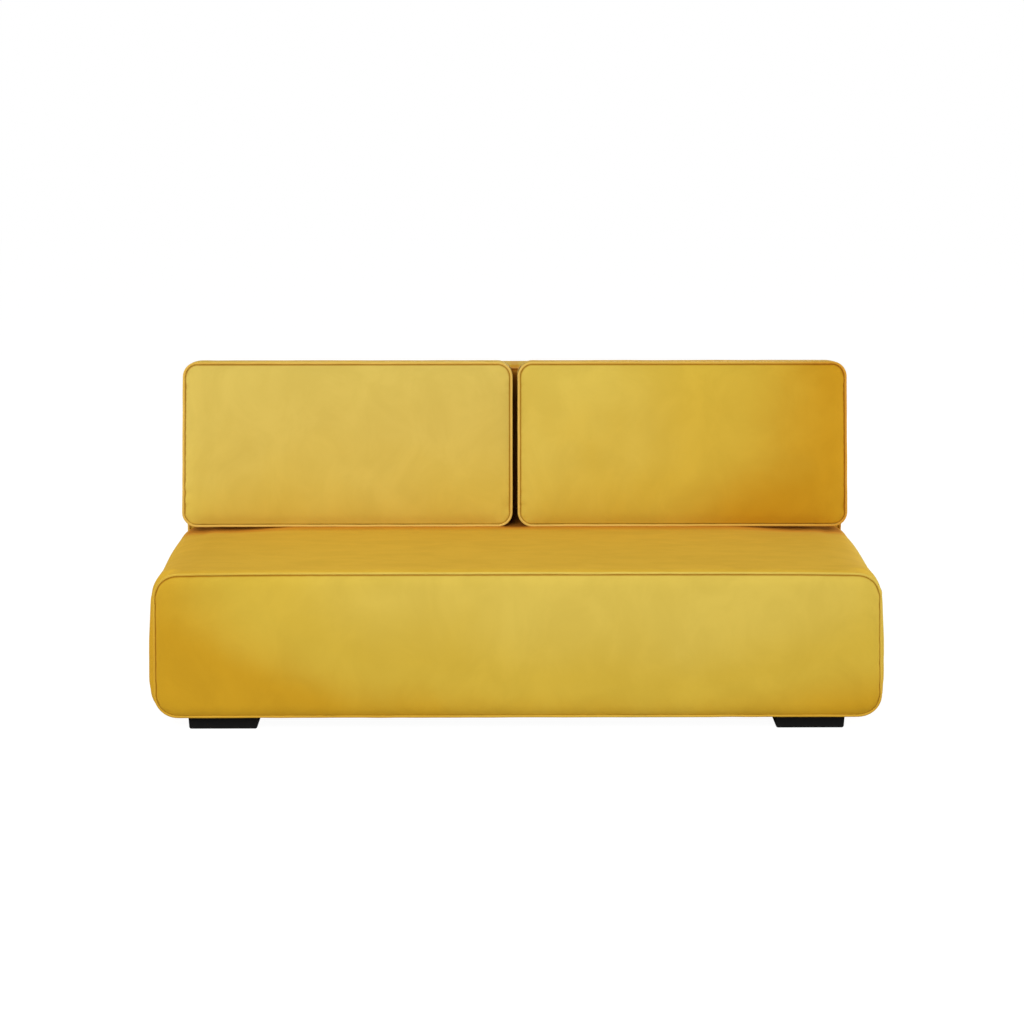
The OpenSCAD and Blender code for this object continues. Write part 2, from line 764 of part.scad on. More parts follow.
module back_wrap() {
    front = [[edge_in, 0], [bulge_half_w, bulge_half], [bulge_full_w, 1]];
    color(velvet) skin(reverse(transpose(concat(
        [for (s = front) back_ring(outside(back_box, s[1]), false, s[0])],
        [for (s = reverse(front)) back_ring(outside(back_box, s[1]), true, s[0])],
        [for (s = front) back_ring(inside(back_box, s[1]), true, s[0])],
        [for (s = reverse(front)) back_ring(inside(back_box, s[1]), false, s[0])]
    ))));
}

module back_rear_cover() {
    s = inset(back_seam, edge_in);
    points = [for (p = arch(s, back_low)) [p[0], seat_top + p[1] * (p[1] > 0 ? cos(back_lean) : 1)]];
    color(velvet) slab_y(points, rear_cover_y - cover_t / 2, rear_cover_y + cover_t / 2);
}

module back_front_piping() {
    color(welt) leaning(back_o, back_lean) piping_arch(back_seam, fit_gap);
}

module back_rear_piping() {
    high = back_seam[2] * cos(back_lean);
    color(welt) leaning([0, rear_cover_y, seat_top], 0)
        piping_arch([back_seam[0], 0, high, least_r, back_seam_r, 0], back_low);
}

module back_dust_cover() {
    x = back_seam[0] - edge_in;
    color(lining) difference() {
        block([-x, back_y + fit_gap, foot_h], [x, rear_board_face, dust_top]);
        for (side = [LEFT, RIGHT]) foot_screw_places(side, rear_screw_y)
            rod_z(0, 0, 0, dust_top + 1, foot_screw_d / 2 + hole_gap);
    }
}

// Back cushions

cushion_y = back_y - back_crown - cover_t / 2 - fit_gap - piping_r - cushion_t;
cushion_seam_r = cushion_corner_r - cushion_side_bulge - piping_r;
cushion_seam = [
    cushion_w / 2 - cushion_side_bulge - piping_r, piping_r, cushion_h - cushion_top_bulge - piping_r,
    cushion_seam_r, cushion_seam_r, 0
];
// A cushion leans back as a whole, so its top slopes down behind the front seam.
cushion_slope = tan(back_lean);
cushion_rear_seam = grow(cushion_seam, 0, 0, -cushion_t * cushion_slope);
cushion_box = [
    cushion_seam, cushion_side_bulge + piping_r, cover_t / 2, cushion_top_bulge + piping_r, 0, cushion_slope
];
// The zip is let into a flat band under the cushion, half way between the two seams.
zip_y = cushion_t / 2;
zip_v = cushion_seam[1] + cover_t / 2;
zip_band_hw = zip_l / 2 + 10;
zip_tape_t = 1;
zip_teeth_w = 4;
zip_teeth_t = 0.5;
zip_slider_t = 1.6;
zip_slider_v = zip_v - zip_tape_t - zip_teeth_t - fit_gap - zip_slider_t;
zip_pull_t = 0.8;
zip_end = 8;

function cushion_o(side) = [side * (cushion_w + cushion_gap) / 2, cushion_y, seat_top + fit_gap];

module cushion_filling(side) {
    stations = concat(
        stations_through(cushion_t),
        [[cushion_t - cover_t / 2 - fit_gap, 0]]
    );
    color(foam) crowned_pad(cushion_o(side), back_lean, cushion_box, cushion_crown, stations);
}

module cushion_front(side) {
    color(velvet) crowned_panel(cushion_o(side), back_lean, inset(cushion_seam, edge_in), cushion_crown);
}

// One strip from the zip band, round the sides and the top, and back to it
module cushion_boxing(side) {
    color(velvet) wrap(cushion_o(side), back_lean, cushion_box, stations_through(cushion_t), zip_band_hw);
}

module cushion_zip_band(side) {
    x = zip_band_hw - fit_gap;
    color(velvet) translate(cushion_o(side)) difference() {
        block([-x, edge_in, zip_v - cover_t], [x, cushion_t - edge_in, zip_v]);
        block([-zip_l / 2, zip_y - zip_tape_w / 2, 0], [zip_l / 2, zip_y + zip_tape_w / 2, zip_v + 1]);
    }
}

module cushion_rear(side) {
    color(velvet) leaning(cushion_o(side), back_lean, cushion_t)
        slab_y(ring(inset(cushion_rear_seam, edge_in)), -cover_t / 2, cover_t / 2);
}

module cushion_front_piping(side) {
    color(welt) leaning(cushion_o(side), back_lean) piping_loop(cushion_seam);
}

module cushion_rear_piping(side) {
    color(welt) leaning(cushion_o(side), back_lean, cushion_t) piping_loop(cushion_rear_seam);
}

module cushion_zip(side) {
    x = zip_l / 2 - fit_gap;
    w = zip_tape_w / 2 - fit_gap;
    color(lining) translate(cushion_o(side)) {
        block([-x, zip_y - w, zip_v - zip_tape_t], [x, zip_y + w, zip_v]);
        block([-x, zip_y - zip_teeth_w / 2, zip_v - zip_tape_t - zip_teeth_t],
            [x, zip_y + zip_teeth_w / 2, zip_v - zip_tape_t]);
    }
}

// The slider rests at the outer end of its zip
module zip_slider(side) {
    x = zip_l / 2 - zip_end;
    top = zip_slider_v + zip_slider_t;
    color(steel) translate(cushion_o(side)) mirror([side == LEFT ? 1 : 0, 0, 0]) {
        block([x - zip_slider_l, zip_y - zip_slider_w / 2, zip_slider_v],
            [x, zip_y + zip_slider_w / 2, top]);
        block([x - zip_slider_l - zip_pull_l, zip_y - zip_pull_w / 2, zip_slider_v],
            [x - zip_slider_l, zip_y + zip_pull_w / 2, zip_slider_v + zip_pull_t]);
    }
}

front_board();
rear_board();
end_board(LEFT);  // left_end_board
end_board(RIGHT);  // right_end_board
cross_rails();
corner_blocks();
seat_springs();
spring_clips();
spring_felt();
seat_foam();
seat_front_pad();
seat_side_pads();
seat_front_cover();
seat_wrap();
seat_front_piping();
seat_rear_lining();
seat_dust_cover();
foot(LEFT, front_foot_y, front_screw_y);  // front_left_foot
foot(RIGHT, front_foot_y, front_screw_y);  // front_right_foot
foot(LEFT, rear_foot_y, rear_screw_y);  // rear_left_foot
foot(RIGHT, rear_foot_y, rear_screw_y);  // rear_right_foot
foot_screws();
back_board(LEFT);  // back_left_board
back_board(RIGHT);  // back_right_board
back_bottom_rail();
back_bolt_rail();
back_webbing_rails();
back_mid_post();
back_webbing();
back_foam();
back_side_pads();
back_top_pad();
back_rear_board();
back_front_cover();
back_wrap();
back_rear_cover();
back_front_piping();
back_rear_piping();
back_dust_cover();
back_bolts();
tee_nuts();
cushion_filling(LEFT);  // left_cushion_filling
cushion_front(LEFT);  // left_cushion_front
cushion_boxing(LEFT);  // left_cushion_boxing
cushion_rear(LEFT);  // left_cushion_rear
cushion_front_piping(LEFT);  // left_cushion_front_piping
cushion_rear_piping(LEFT);  // left_cushion_rear_piping
cushion_zip_band(LEFT);  // left_cushion_zip_band
cushion_zip(LEFT);  // left_cushion_zip
zip_slider(LEFT);  // left_zip_slider
cushion_filling(RIGHT);  // right_cushion_filling
cushion_front(RIGHT);  // right_cushion_front
cushion_boxing(RIGHT);  // right_cushion_boxing
cushion_rear(RIGHT);  // right_cushion_rear
cushion_front_piping(RIGHT);  // right_cushion_front_piping
cushion_rear_piping(RIGHT);  // right_cushion_rear_piping
cushion_zip_band(RIGHT);  // right_cushion_zip_band
cushion_zip(RIGHT);  // right_cushion_zip
zip_slider(RIGHT);  // right_zip_slider
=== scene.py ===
# %% [markdown]
# # An armless sofa in gold velvet
#
# The sofa is one long upholstered seat block on four low feet, an upholstered back that is bolted behind it,
# and two loose back cushions that lie against the back. The imported model gives the frame of boards, springs
# and fixings and the place of everything else. Blender adds what cloth does: panels that swell between their
# seams, piping that follows each seam, and the soft light and dark patches of velvet, with painted light and
# shade laid over them.

# %% Load the imported model
import math

import bmesh
import bpy
import numpy as np
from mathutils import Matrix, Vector, noise


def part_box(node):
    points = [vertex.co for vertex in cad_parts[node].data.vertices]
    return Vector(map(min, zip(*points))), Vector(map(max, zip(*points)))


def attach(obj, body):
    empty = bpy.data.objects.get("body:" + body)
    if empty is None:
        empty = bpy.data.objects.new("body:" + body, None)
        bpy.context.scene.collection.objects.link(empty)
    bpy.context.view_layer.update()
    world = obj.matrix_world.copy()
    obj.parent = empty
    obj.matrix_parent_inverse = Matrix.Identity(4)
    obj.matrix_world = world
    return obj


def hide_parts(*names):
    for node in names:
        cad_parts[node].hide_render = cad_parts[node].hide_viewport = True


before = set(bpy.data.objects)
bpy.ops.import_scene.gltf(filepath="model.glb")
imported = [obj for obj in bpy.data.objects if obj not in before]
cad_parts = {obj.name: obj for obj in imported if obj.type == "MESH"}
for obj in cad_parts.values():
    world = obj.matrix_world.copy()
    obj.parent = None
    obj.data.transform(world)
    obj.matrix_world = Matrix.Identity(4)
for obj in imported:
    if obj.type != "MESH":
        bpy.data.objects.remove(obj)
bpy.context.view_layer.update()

scene = bpy.context.scene

# %% [markdown]
# ## The camera
#
# The photograph looks at the sofa from the front, a little from above, through a long lens: the block's
# sides stay nearly upright. So the camera stands 6.6 m away at 1.86 m above the floor and tips down by
# 11.5 degrees, and nothing is shifted.

# %% Camera
bpy.ops.object.camera_add(
    location=(-0.0575, -6.614, 1.857), rotation=(math.radians(90 - 11.47), 0, math.radians(-0.41))
)
camera = bpy.context.object
camera.name = "front_camera"
camera.data.sensor_width = 36
camera.data.lens = 82.6
scene.camera = camera
print("camera lens", round(camera.data.lens, 1), "mm")

# %% [markdown]
# ## The room
#
# A plain white sweep, as in a product photograph. The floor takes the sofa's shadow, and it is lifted to
# white only for rays that come from the camera, so that it throws no extra light on the velvet. One large
# soft lamp stands high in front on the left and a weaker one on the right. One behind and one on each side
# reach the faces that the photograph doesn't show, and the world fills the rest.

# %% Floor
def new_material(name):
    """An empty node material; returns it, its nodes and a function that links them."""
    material = bpy.data.materials.new(name)
    material.use_nodes = True
    material.node_tree.nodes.clear()
    return material, material.node_tree.nodes, material.node_tree.links.new


bpy.ops.mesh.primitive_plane_add(size=30, location=(0, 0, 0))
floor = bpy.context.object
floor.name = "floor"
paper, nodes, link = new_material("studio_paper")
matt = nodes.new("ShaderNodeBsdfDiffuse")
matt.inputs["Color"].default_value = (0.62, 0.62, 0.62, 1)
glow = nodes.new("ShaderNodeEmission")
glow.inputs["Strength"].default_value = 1.2
rays = nodes.new("ShaderNodeLightPath")
seen = nodes.new("ShaderNodeMath")
seen.operation = "MULTIPLY"
seen.inputs[1].default_value = 0.8
link(rays.outputs["Is Camera Ray"], seen.inputs[0])
lifted = nodes.new("ShaderNodeMixShader")
link(seen.outputs[0], lifted.inputs[0])
link(matt.outputs[0], lifted.inputs[1])
link(glow.outputs[0], lifted.inputs[2])
link(lifted.outputs[0], nodes.new("ShaderNodeOutputMaterial").inputs["Surface"])
floor.data.materials.append(paper)
print("floor", [round(side, 1) for side in floor.dimensions], "m")

# %% World and lamps
def soft_lamp(name, place, aim, size, power):
    """A square area lamp at place that shines towards aim."""
    bpy.ops.object.light_add(type="AREA", location=place)
    lamp = bpy.context.object
    lamp.name = name
    lamp.data.shape = "SQUARE"
    lamp.data.size = size
    lamp.data.energy = power
    lamp.rotation_euler = (Vector(aim) - Vector(place)).to_track_quat("-Z", "Y").to_euler()


world = bpy.data.worlds.new("studio_air")
scene.world = world
world.use_nodes = True
nodes, link = world.node_tree.nodes, world.node_tree.links.new
nodes.clear()
rays = nodes.new("ShaderNodeLightPath")
direct = nodes.new("ShaderNodeMath")
direct.operation = "MAXIMUM"
link(rays.outputs["Is Camera Ray"], direct.inputs[0])
link(rays.outputs["Is Glossy Ray"], direct.inputs[1])
clear = nodes.new("ShaderNodeMath")
clear.operation = "MAXIMUM"
link(direct.outputs[0], clear.inputs[0])
link(rays.outputs["Is Transmission Ray"], clear.inputs[1])
white = nodes.new("ShaderNodeBackground")
white.inputs["Color"].default_value = (1, 1, 1, 1)
white.inputs["Strength"].default_value = 1.0
fill = nodes.new("ShaderNodeBackground")
fill.inputs["Color"].default_value = (1, 0.99, 0.97, 1)
fill.inputs["Strength"].default_value = 0.32
sky = nodes.new("ShaderNodeMixShader")
link(clear.outputs[0], sky.inputs[0])
link(fill.outputs[0], sky.inputs[1])
link(white.outputs[0], sky.inputs[2])
link(sky.outputs[0], nodes.new("ShaderNodeOutputWorld").inputs["Surface"])

soft_lamp("front_left_lamp", (-1.7, -5.0, 3.8), (0, 0, 0.45), 3.2, 245)
soft_lamp("front_right_lamp", (3.2, -4.6, 1.8), (0.2, 0, 0.4), 2.4, 60)
soft_lamp("rear_lamp", (0.5, 4.8, 1.5), (0, 0.4, 0.4), 2.6, 110)
soft_lamp("left_side_lamp", (-4.5, 0.4, 0.8), (0, 0, 0.4), 1.5, 55)
soft_lamp("right_side_lamp", (4.5, 0.4, 0.8), (0, 0, 0.4), 1.5, 70)

scene.view_settings.view_transform = "Standard"

# %% [markdown]
# ## Velvet
#
# Velvet is a short upright pile. It scatters light to the side, so edges that turn away look lighter, and
# wherever a hand has brushed it the pile leans and the colour shifts. That gives three layers: a sheen
# on the shader, wide soft patches from slow noise in the colour, and a very fine bump for the pile.
# The patches read the Object coordinates, moved by a different amount on each piece. Over them lies painted
# light: each piece is painted lightest round a centre and deeper away from it. A level surface has deeper
# colours of its own, painted light and shade for how the top is lit. Beside each seam the cloth is drawn in
# under the piping; the mesh carries each point's distance from its seam, and over the last few millimetres
# the surface dips and painted shade darkens the colour. Painted shade also darkens the cloth where it is
# closed in, between and under the cushions.

# %% Helpers for finishes
def rgb(code):
    """A web colour as the linear colour that a shader takes."""
    parts = [int(code[i:i + 2], 16) / 255 for i in (1, 3, 5)]
    return tuple(c / 12.92 if c < 0.04045 else ((c + 0.055) / 1.055) ** 2.4 for c in parts) + (1,)


def shader(nodes, link, roughness, specular=0.5, metallic=0.0):
    """A Principled shader that is linked to the output."""
    surface = nodes.new("ShaderNodeBsdfPrincipled")
    surface.inputs["Roughness"].default_value = roughness
    surface.inputs["Specular IOR Level"].default_value = specular
    surface.inputs["Metallic"].default_value = metallic
    link(surface.outputs[0], nodes.new("ShaderNodeOutputMaterial").inputs["Surface"])
    return surface


def placed(nodes, link, shift=(0, 0, 0), stretch=(1, 1, 1)):
    """Object coordinates, moved and stretched."""
    where = nodes.new("ShaderNodeMapping")
    where.inputs["Location"].default_value = shift
    where.inputs["Scale"].default_value = stretch
    link(nodes.new("ShaderNodeTexCoord").outputs["Object"], where.inputs["Vector"])
    return where.outputs[0]


def cloud(nodes, link, where, scale, detail=2.0, roughness=0.5, distortion=0.0):
    """Noise of the given scale, in patches per metre."""
    texture = nodes.new("ShaderNodeTexNoise")
    texture.inputs["Scale"].default_value = scale
    texture.inputs["Detail"].default_value = detail
    texture.inputs["Roughness"].default_value = roughness
    texture.inputs["Distortion"].default_value = distortion
    link(where, texture.inputs["Vector"])
    return texture.outputs["Fac"]


def ramp(nodes, link, value, stops):
    """A colour ramp; stops is a list of (position, colour)."""
    band = nodes.new("ShaderNodeValToRGB")
    band.color_ramp.interpolation = "EASE"
    while len(band.color_ramp.elements) < len(stops):
        band.color_ramp.elements.new(0.5)
    for element, (position, colour) in zip(band.color_ramp.elements, stops):
        element.position = position
        element.color = colour
    link(value, band.inputs[0])
    return band.outputs[0]


def mixed(nodes, link, share, a, b, mode="MIX"):
    """Two colours mixed; each may be a socket or a fixed colour, and share a socket or a number."""
    blend = nodes.new("ShaderNodeMix")
    blend.data_type = "RGBA"
    blend.blend_type = mode
    for socket, value in ((blend.inputs[0], share), (blend.inputs[6], a), (blend.inputs[7], b)):
        if hasattr(value, "links"):
            link(value, socket)
        else:
            socket.default_value = value
    return blend.outputs[2]


def bumps(nodes, link, surface, layers):
    """Adds bumps to a shader; layers is a list of (height socket, strength, height in metres)."""
    last = None
    for height, strength, distance in layers:
        bump = nodes.new("ShaderNodeBump")
        bump.inputs["Strength"].default_value = strength
        bump.inputs["Distance"].default_value = distance
        link(height, bump.inputs["Height"])
        if last is not None:
            link(last, bump.inputs["Normal"])
        last = bump.outputs[0]
    link(last, surface.inputs["Normal"])


def weighed(nodes, link, a, share_a, b, share_b):
    """a and b added up, each by its share."""
    first = nodes.new("ShaderNodeMath")
    first.operation = "MULTIPLY"
    first.inputs[1].default_value = share_a
    link(a, first.inputs[0])
    both = nodes.new("ShaderNodeMath")
    both.operation = "MULTIPLY_ADD"
    both.inputs[1].default_value = share_b
    link(b, both.inputs[0])
    link(first.outputs[0], both.inputs[2])
    return both.outputs[0]


print("helpers for finishes are ready")

# %% The velvet finish
# Painted shade: what the colour is multiplied by beside a seam, and by how closed in the cloth is
SEAM_SHADE = (0.56, 0.38, 0.17, 1)
PAINTED_SHADE_RAMP = [
    (0.0, (1, 1, 1, 1)), (0.4, (0.95, 0.72, 0.58, 1)),
    (0.6, (0.78, 0.48, 0.3, 1)), (1.0, (0.38, 0.19, 0.07, 1)),
]


def velvet(name, shades, tops, shift, centre=(0, 0, 0.5), reach=(1.5, 3, 0.8), sheen=0.1, seams=True):
    """Gold pile cloth. Painted light makes it lightest round the centre, and painted shade deepest beyond
    reach:
    shades has its light, middle and deep colour where it stands upright, and tops its painted light and deep
    colour where it lies level. Its patches are moved by shift, and painted shade darkens it where it is closed
    in and beside its seams."""
    material, nodes, link = new_material(name)
    surface = shader(nodes, link, 0.85, 0.06)
    surface.inputs["Sheen Weight"].default_value = sheen
    surface.inputs["Sheen Roughness"].default_value = 0.4
    surface.inputs["Sheen Tint"].default_value = rgb("#ffd873")
    # Painted light and shade: lightest round the centre, deepening with the squared distance out to reach
    from_centre = placed(nodes, link, [-c / r for c, r in zip(centre, reach)], [1 / r for r in reach])
    far = nodes.new("ShaderNodeVectorMath")
    far.operation = "DOT_PRODUCT"
    link(from_centre, far.inputs[0])
    link(from_centre, far.inputs[1])
    wide = cloud(nodes, link, placed(nodes, link, shift), 2.6, 3.0, 0.5, 0.4)
    share = weighed(nodes, link, far.outputs["Value"], 0.8, wide, 0.34)
    upright = ramp(nodes, link, share, [(stop, rgb(code)) for stop, code in zip((0.22, 0.6, 0.97), shades)])
    # Painted light and shade on level surfaces: where the normal points up, the tops colours replace the
    # upright ones
    level_painted_light = ramp(nodes, link, share, [(stop, rgb(code)) for stop, code in zip((0.45, 0.9), tops)])
    facing = nodes.new("ShaderNodeSeparateXYZ")
    link(nodes.new("ShaderNodeNewGeometry").outputs["Normal"], facing.inputs[0])
    level = ramp(nodes, link, facing.outputs["Z"], [(0.5, (0, 0, 0, 1)), (0.96, (1, 1, 1, 1))])
    colour = mixed(nodes, link, level, upright, level_painted_light)
    brushed = cloud(nodes, link, placed(nodes, link, shift, (0.7, 2, 0.5)), 11, 4.0, 0.6, 0.6)
    tone = ramp(nodes, link, brushed, [(0.3, (0.93, 0.92, 0.88, 1)), (0.7, (1, 1, 1, 1))])
    colour = mixed(nodes, link, 1.0, colour, tone, "MULTIPLY")
    # Painted shade wherever the mesh marks the cloth as closed in, from an orange tint to a deep red-brown
    closed = nodes.new("ShaderNodeAttribute")
    closed.attribute_name = "painted_shade"
    colour = mixed(nodes, link, 1.0, colour, ramp(nodes, link, closed.outputs["Fac"], PAINTED_SHADE_RAMP), "MULTIPLY")
    pile = cloud(nodes, link, placed(nodes, link), 1300, 2.0)
    nap = cloud(nodes, link, placed(nodes, link, shift, (1, 1, 0.5)), 60, 3.0, 0.6)
    layers = [(nap, 0.12, 0.002), (pile, 0.3, 0.0004)]
    if seams:
        gap = nodes.new("ShaderNodeAttribute")
        gap.attribute_name = "seam_gap"
        near = nodes.new("ShaderNodeMapRange")
        near.interpolation_type = "SMOOTHSTEP"
        near.inputs["From Min"].default_value = 0.0045
        near.inputs["From Max"].default_value = 0.0105
        link(gap.outputs["Fac"], near.inputs["Value"])
        # Painted shade in the groove beside each seam, where the piping shades the cloth
        seam_painted_shade = mixed(nodes, link, 1.0, colour, SEAM_SHADE, "MULTIPLY")
        colour = mixed(nodes, link, near.outputs[0], seam_painted_shade, colour)
        layers.insert(0, (near.outputs[0], 0.4, 0.0015))
    link(colour, surface.inputs["Base Color"])
    bumps(nodes, link, surface, layers)
    return material


# %% One velvet for each piece
# Each velvet's centre and reach place its painted light and shade; the right cushion's centre lies to its left,
# so it is painted deeper towards its right end
SEAT_CENTRE, SEAT_REACH = (0.25, 0, 0.46), (1.38, 3, 0.49)
seat_velvet = velvet(
    "seat_velvet", ("#d3b851", "#ceae3e", "#c69822"), ("#dfb43c", "#d8ab36"), (0.3, 0, 0.1),
    SEAT_CENTRE, SEAT_REACH
)
back_velvet = velvet(
    "back_velvet", ("#d5b94f", "#d0ae3c", "#c59a2a"), ("#dcb63c", "#d8b038"), (1.7, 0.2, 0.6)
)
left_velvet = velvet(
    "left_cushion_velvet", ("#d3b95a", "#d5b74d", "#d3b141"), ("#dab84a", "#d8b446"), (0.9, 0, 0.4),
    (-0.48, 0, 0.95), (2.2, 3, 0.7)
)
right_velvet = velvet(
    "right_cushion_velvet", ("#d4ba53", "#d0af3e", "#c6941f"), ("#d8b040", "#d4a838"), (2.6, 0, 0.2),
    (-0.35, 0, 0.85), (1.3, 3, 0.75)
)
# The piping is painted a little lighter than the panels beside it: a painted highlight on the cord
piping_velvet = velvet(
    "piping_velvet", ("#e0bd60", "#dab04e", "#cf9632"), ("#dfb852", "#dab04a"), (0.2, 0.4, 0.8),
    (-0.3, 0, 0.6), (1.35, 3, 0.8), sheen=0.2, seams=False
)
seat_piping_velvet = velvet(
    "seat_piping_velvet", ("#d9bf58", "#d4b348", "#cc9f30"), ("#dfbb46", "#dab440"), (0.5, 0.1, 0.3),
    SEAT_CENTRE, SEAT_REACH, seams=False
)
print("velvets", [m.name for m in bpy.data.materials if "velvet" in m.name])

# %% [markdown]
# ## How a padded piece is made
#
# Each padded piece starts as a straight box a little smaller than the finished form, with x across, y as
# the depth behind its front seam and z as its height. Its long edges are rounded, and a voxel remesh gives
# it small even squares. The cloth solver then blows it up: points on a seam, or where it rests on something,
# are held, and the panels between them swell. A soft limit stops each panel where its foam would.
# Last comes one subdivision, and the box is set in its place on the sofa.

# %% Helpers for modelling
def deselect():
    """Leaves edit mode and selects nothing."""
    if bpy.context.object and bpy.context.object.mode != "OBJECT":
        bpy.ops.object.mode_set(mode="OBJECT")
    bpy.ops.object.select_all(action="DESELECT")


def make_active(piece):
    """Selects this piece only."""
    deselect()
    piece.select_set(True)
    bpy.context.view_layer.objects.active = piece


def add_box(name, low, high):
    """A box between two corners, with its place and size in its mesh."""
    deselect()
    middle = [(a + b) / 2 for a, b in zip(low, high)]
    bpy.ops.mesh.primitive_cube_add(size=1, location=middle)
    piece = bpy.context.object
    piece.name = piece.data.name = name
    piece.scale = [b - a for a, b in zip(low, high)]
    bpy.ops.object.transform_apply(location=True, rotation=True, scale=True)
    return piece


def edit_where(piece, kind, test):
    """Enters edit mode and selects the vertices, edges or faces whose points all pass the test."""
    make_active(piece)
    bpy.ops.object.mode_set(mode="EDIT")
    bpy.ops.mesh.select_mode(type=kind)
    bpy.ops.mesh.select_all(action="DESELECT")
    shape = bmesh.from_edit_mesh(piece.data)
    parts = {"VERT": shape.verts, "EDGE": shape.edges, "FACE": shape.faces}[kind]
    for part in parts:
        points = [part.co] if kind == "VERT" else [v.co for v in part.verts]
        part.select_set(test(points))
    bmesh.update_edit_mesh(piece.data)


def apply_modifier(piece, kind, **settings):
    """Adds a modifier with these settings and applies it."""
    make_active(piece)
    bpy.ops.object.modifier_add(type=kind)
    modifier = piece.modifiers[-1]
    for key, value in settings.items():
        setattr(modifier, key, value)
    bpy.ops.object.modifier_apply(modifier=modifier.name)


def points_of(piece):
    """The places of a mesh's points, one row each."""
    places = np.zeros(len(piece.data.vertices) * 3)
    piece.data.vertices.foreach_get("co", places)
    return places.reshape(-1, 3)


def set_points(piece, places):
    """Moves a mesh's points to these places."""
    piece.data.vertices.foreach_set("co", places.astype(np.float32).ravel())
    piece.data.update()


def finish_piece(piece, body, material, slot, *nodes):
    """Smooth shading, its finish, the body it rides on and the nodes it stands for."""
    make_active(piece)
    bpy.ops.object.shade_smooth()
    if not piece.data.materials:
        piece.data.materials.append(material)
    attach(piece, body)
    if nodes:
        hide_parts(*nodes)
    return piece


# %% Helpers for padded pieces
def outline(places, seam):
    """How far each point lies outside a rounded outline in x and z, and the direction straight out of it."""
    half, low, high, radius = seam
    up = places[:, 2] - (low + high) / 2
    across, rise = np.abs(places[:, 0]) - (half - radius), np.abs(up) - ((high - low) / 2 - radius)
    corner = (across > 0) & (rise > 0)
    reach = np.hypot(across, rise)
    out_x = np.where(corner, across / reach, across > rise) * np.sign(places[:, 0])
    out_z = np.where(corner, rise / reach, across <= rise) * np.sign(up)
    return np.where(corner, reach, np.maximum(across, rise)) - radius, out_x, out_z


def rounded_box(name, seam, depth, low, voxel, round_low=True):
    """A box that fills a seam outline, with its long edges rounded, in small even squares."""
    half, seam_low, high, radius = seam
    piece = add_box(name, (-half, 0, low), (half, depth, high))
    middle = (low + high) / 2

    def long_edge(points):
        upper = points[0].z > middle
        return abs(points[0].y - points[1].y) > depth / 2 and (upper or round_low)

    edit_where(piece, "EDGE", long_edge)
    bpy.ops.mesh.bevel(offset=radius, segments=10, affect="EDGES")
    bpy.ops.object.mode_set(mode="OBJECT")
    apply_modifier(piece, "REMESH", mode="VOXEL", voxel_size=voxel)
    print(name, "starts with", len(piece.data.vertices), "points")
    return piece


def swell(piece, held, limits, gain=3.0):
    """Blows the piece up with the cloth solver. held is True for the points that stay; limits has each
    point's furthest move outwards along x, y and z, and gain is how steeply a panel rises to it."""
    start = points_of(piece)
    group = piece.vertex_groups.new(name="held")
    group.add([int(i) for i in np.flatnonzero(held)], 1.0, "REPLACE")
    make_active(piece)
    bpy.ops.object.modifier_add(type="CLOTH")
    cloth = piece.modifiers[-1]
    cloth.settings.vertex_group_mass = "held"
    cloth.settings.use_pressure = True
    cloth.settings.uniform_pressure_force = 20
    cloth.settings.tension_stiffness = 5
    cloth.settings.compression_stiffness = 5
    cloth.settings.shear_stiffness = 1.7
    cloth.settings.shrink_min = -0.05
    cloth.settings.effector_weights.gravity = 0
    cloth.settings.quality = 4
    cloth.point_cache.frame_start = 1
    cloth.point_cache.frame_end = 20
    for number in range(1, 21):
        scene.frame_set(number)
    bpy.ops.object.modifier_apply(modifier=cloth.name)
    scene.frame_set(1)
    piece.vertex_groups.clear()
    moved = points_of(piece) - start
    middle = (start.min(axis=0) + start.max(axis=0)) / 2
    moved[moved * (start - middle) < 0] *= 0.1
    room = np.maximum(limits, 1e-6)
    set_points(piece, start + room * np.tanh(gain * moved / room))
    print(piece.name, "swelled by up to", np.abs(moved).max(axis=0).round(4))


def draw_in(piece, seam, depth, near, far=0.022):
    """Draws the mesh up to a seam line, which the remesh has rounded off by about near."""
    places = points_of(piece)
    out, out_x, out_z = outline(places, seam)
    behind = places[:, 1] - depth
    gap = np.hypot(out, behind)
    kept = np.clip((gap - near) / (far - near), 0, 1) * far / np.maximum(gap, 1e-6)
    moved = np.where(gap < far, kept - 1, 0)
    set_points(piece, places + moved[:, None] * np.column_stack([out * out_x, behind, out * out_z]))


def keep(piece, name, values):
    """Stores a number at each point, which the velvet reads."""
    piece.data.attributes.new(name, "FLOAT", "POINT").data.foreach_set("value", values.astype(np.float32))


def soften(piece, seam, depths, lump=0.0012, pucker=0.0007, seed=0.0):
    """Slow unevenness all over, and short puckers beside the seams, which lie on one outline at these
    depths. The distance from the nearest seam is kept; it counts for more on the wrap and along the lower
    edge, where hardly any shade shows."""
    make_active(piece)
    places = points_of(piece)
    out, out_x, out_z = outline(places, seam)
    gap = np.min([np.hypot(out, places[:, 1] - depth) for depth in depths], axis=0)
    aside = np.min([np.abs(places[:, 1] - depth) for depth in depths], axis=0) * (out > -0.001)
    keep(piece, "seam_gap", gap + 3 * aside + 0.003 * np.clip(-out_z, 0, 1))
    normals = np.zeros(len(places) * 3)
    piece.data.vertices.foreach_get("normal", normals)
    near = np.exp(-((gap - 0.012) / 0.012) ** 2)
    free = np.clip(gap / 0.04, 0, 1)
    shift = Vector((seed, seed * 0.7, seed * 1.3))
    slow = np.array([noise.noise(Vector(p) * 5.5 + shift) for p in places])
    short = np.array([noise.noise(Vector(p) * 42 + shift) for p in places])
    uneven = lump * slow * free + pucker * short * near
    set_points(piece, places + normals.reshape(-1, 3) * uneven[:, None])


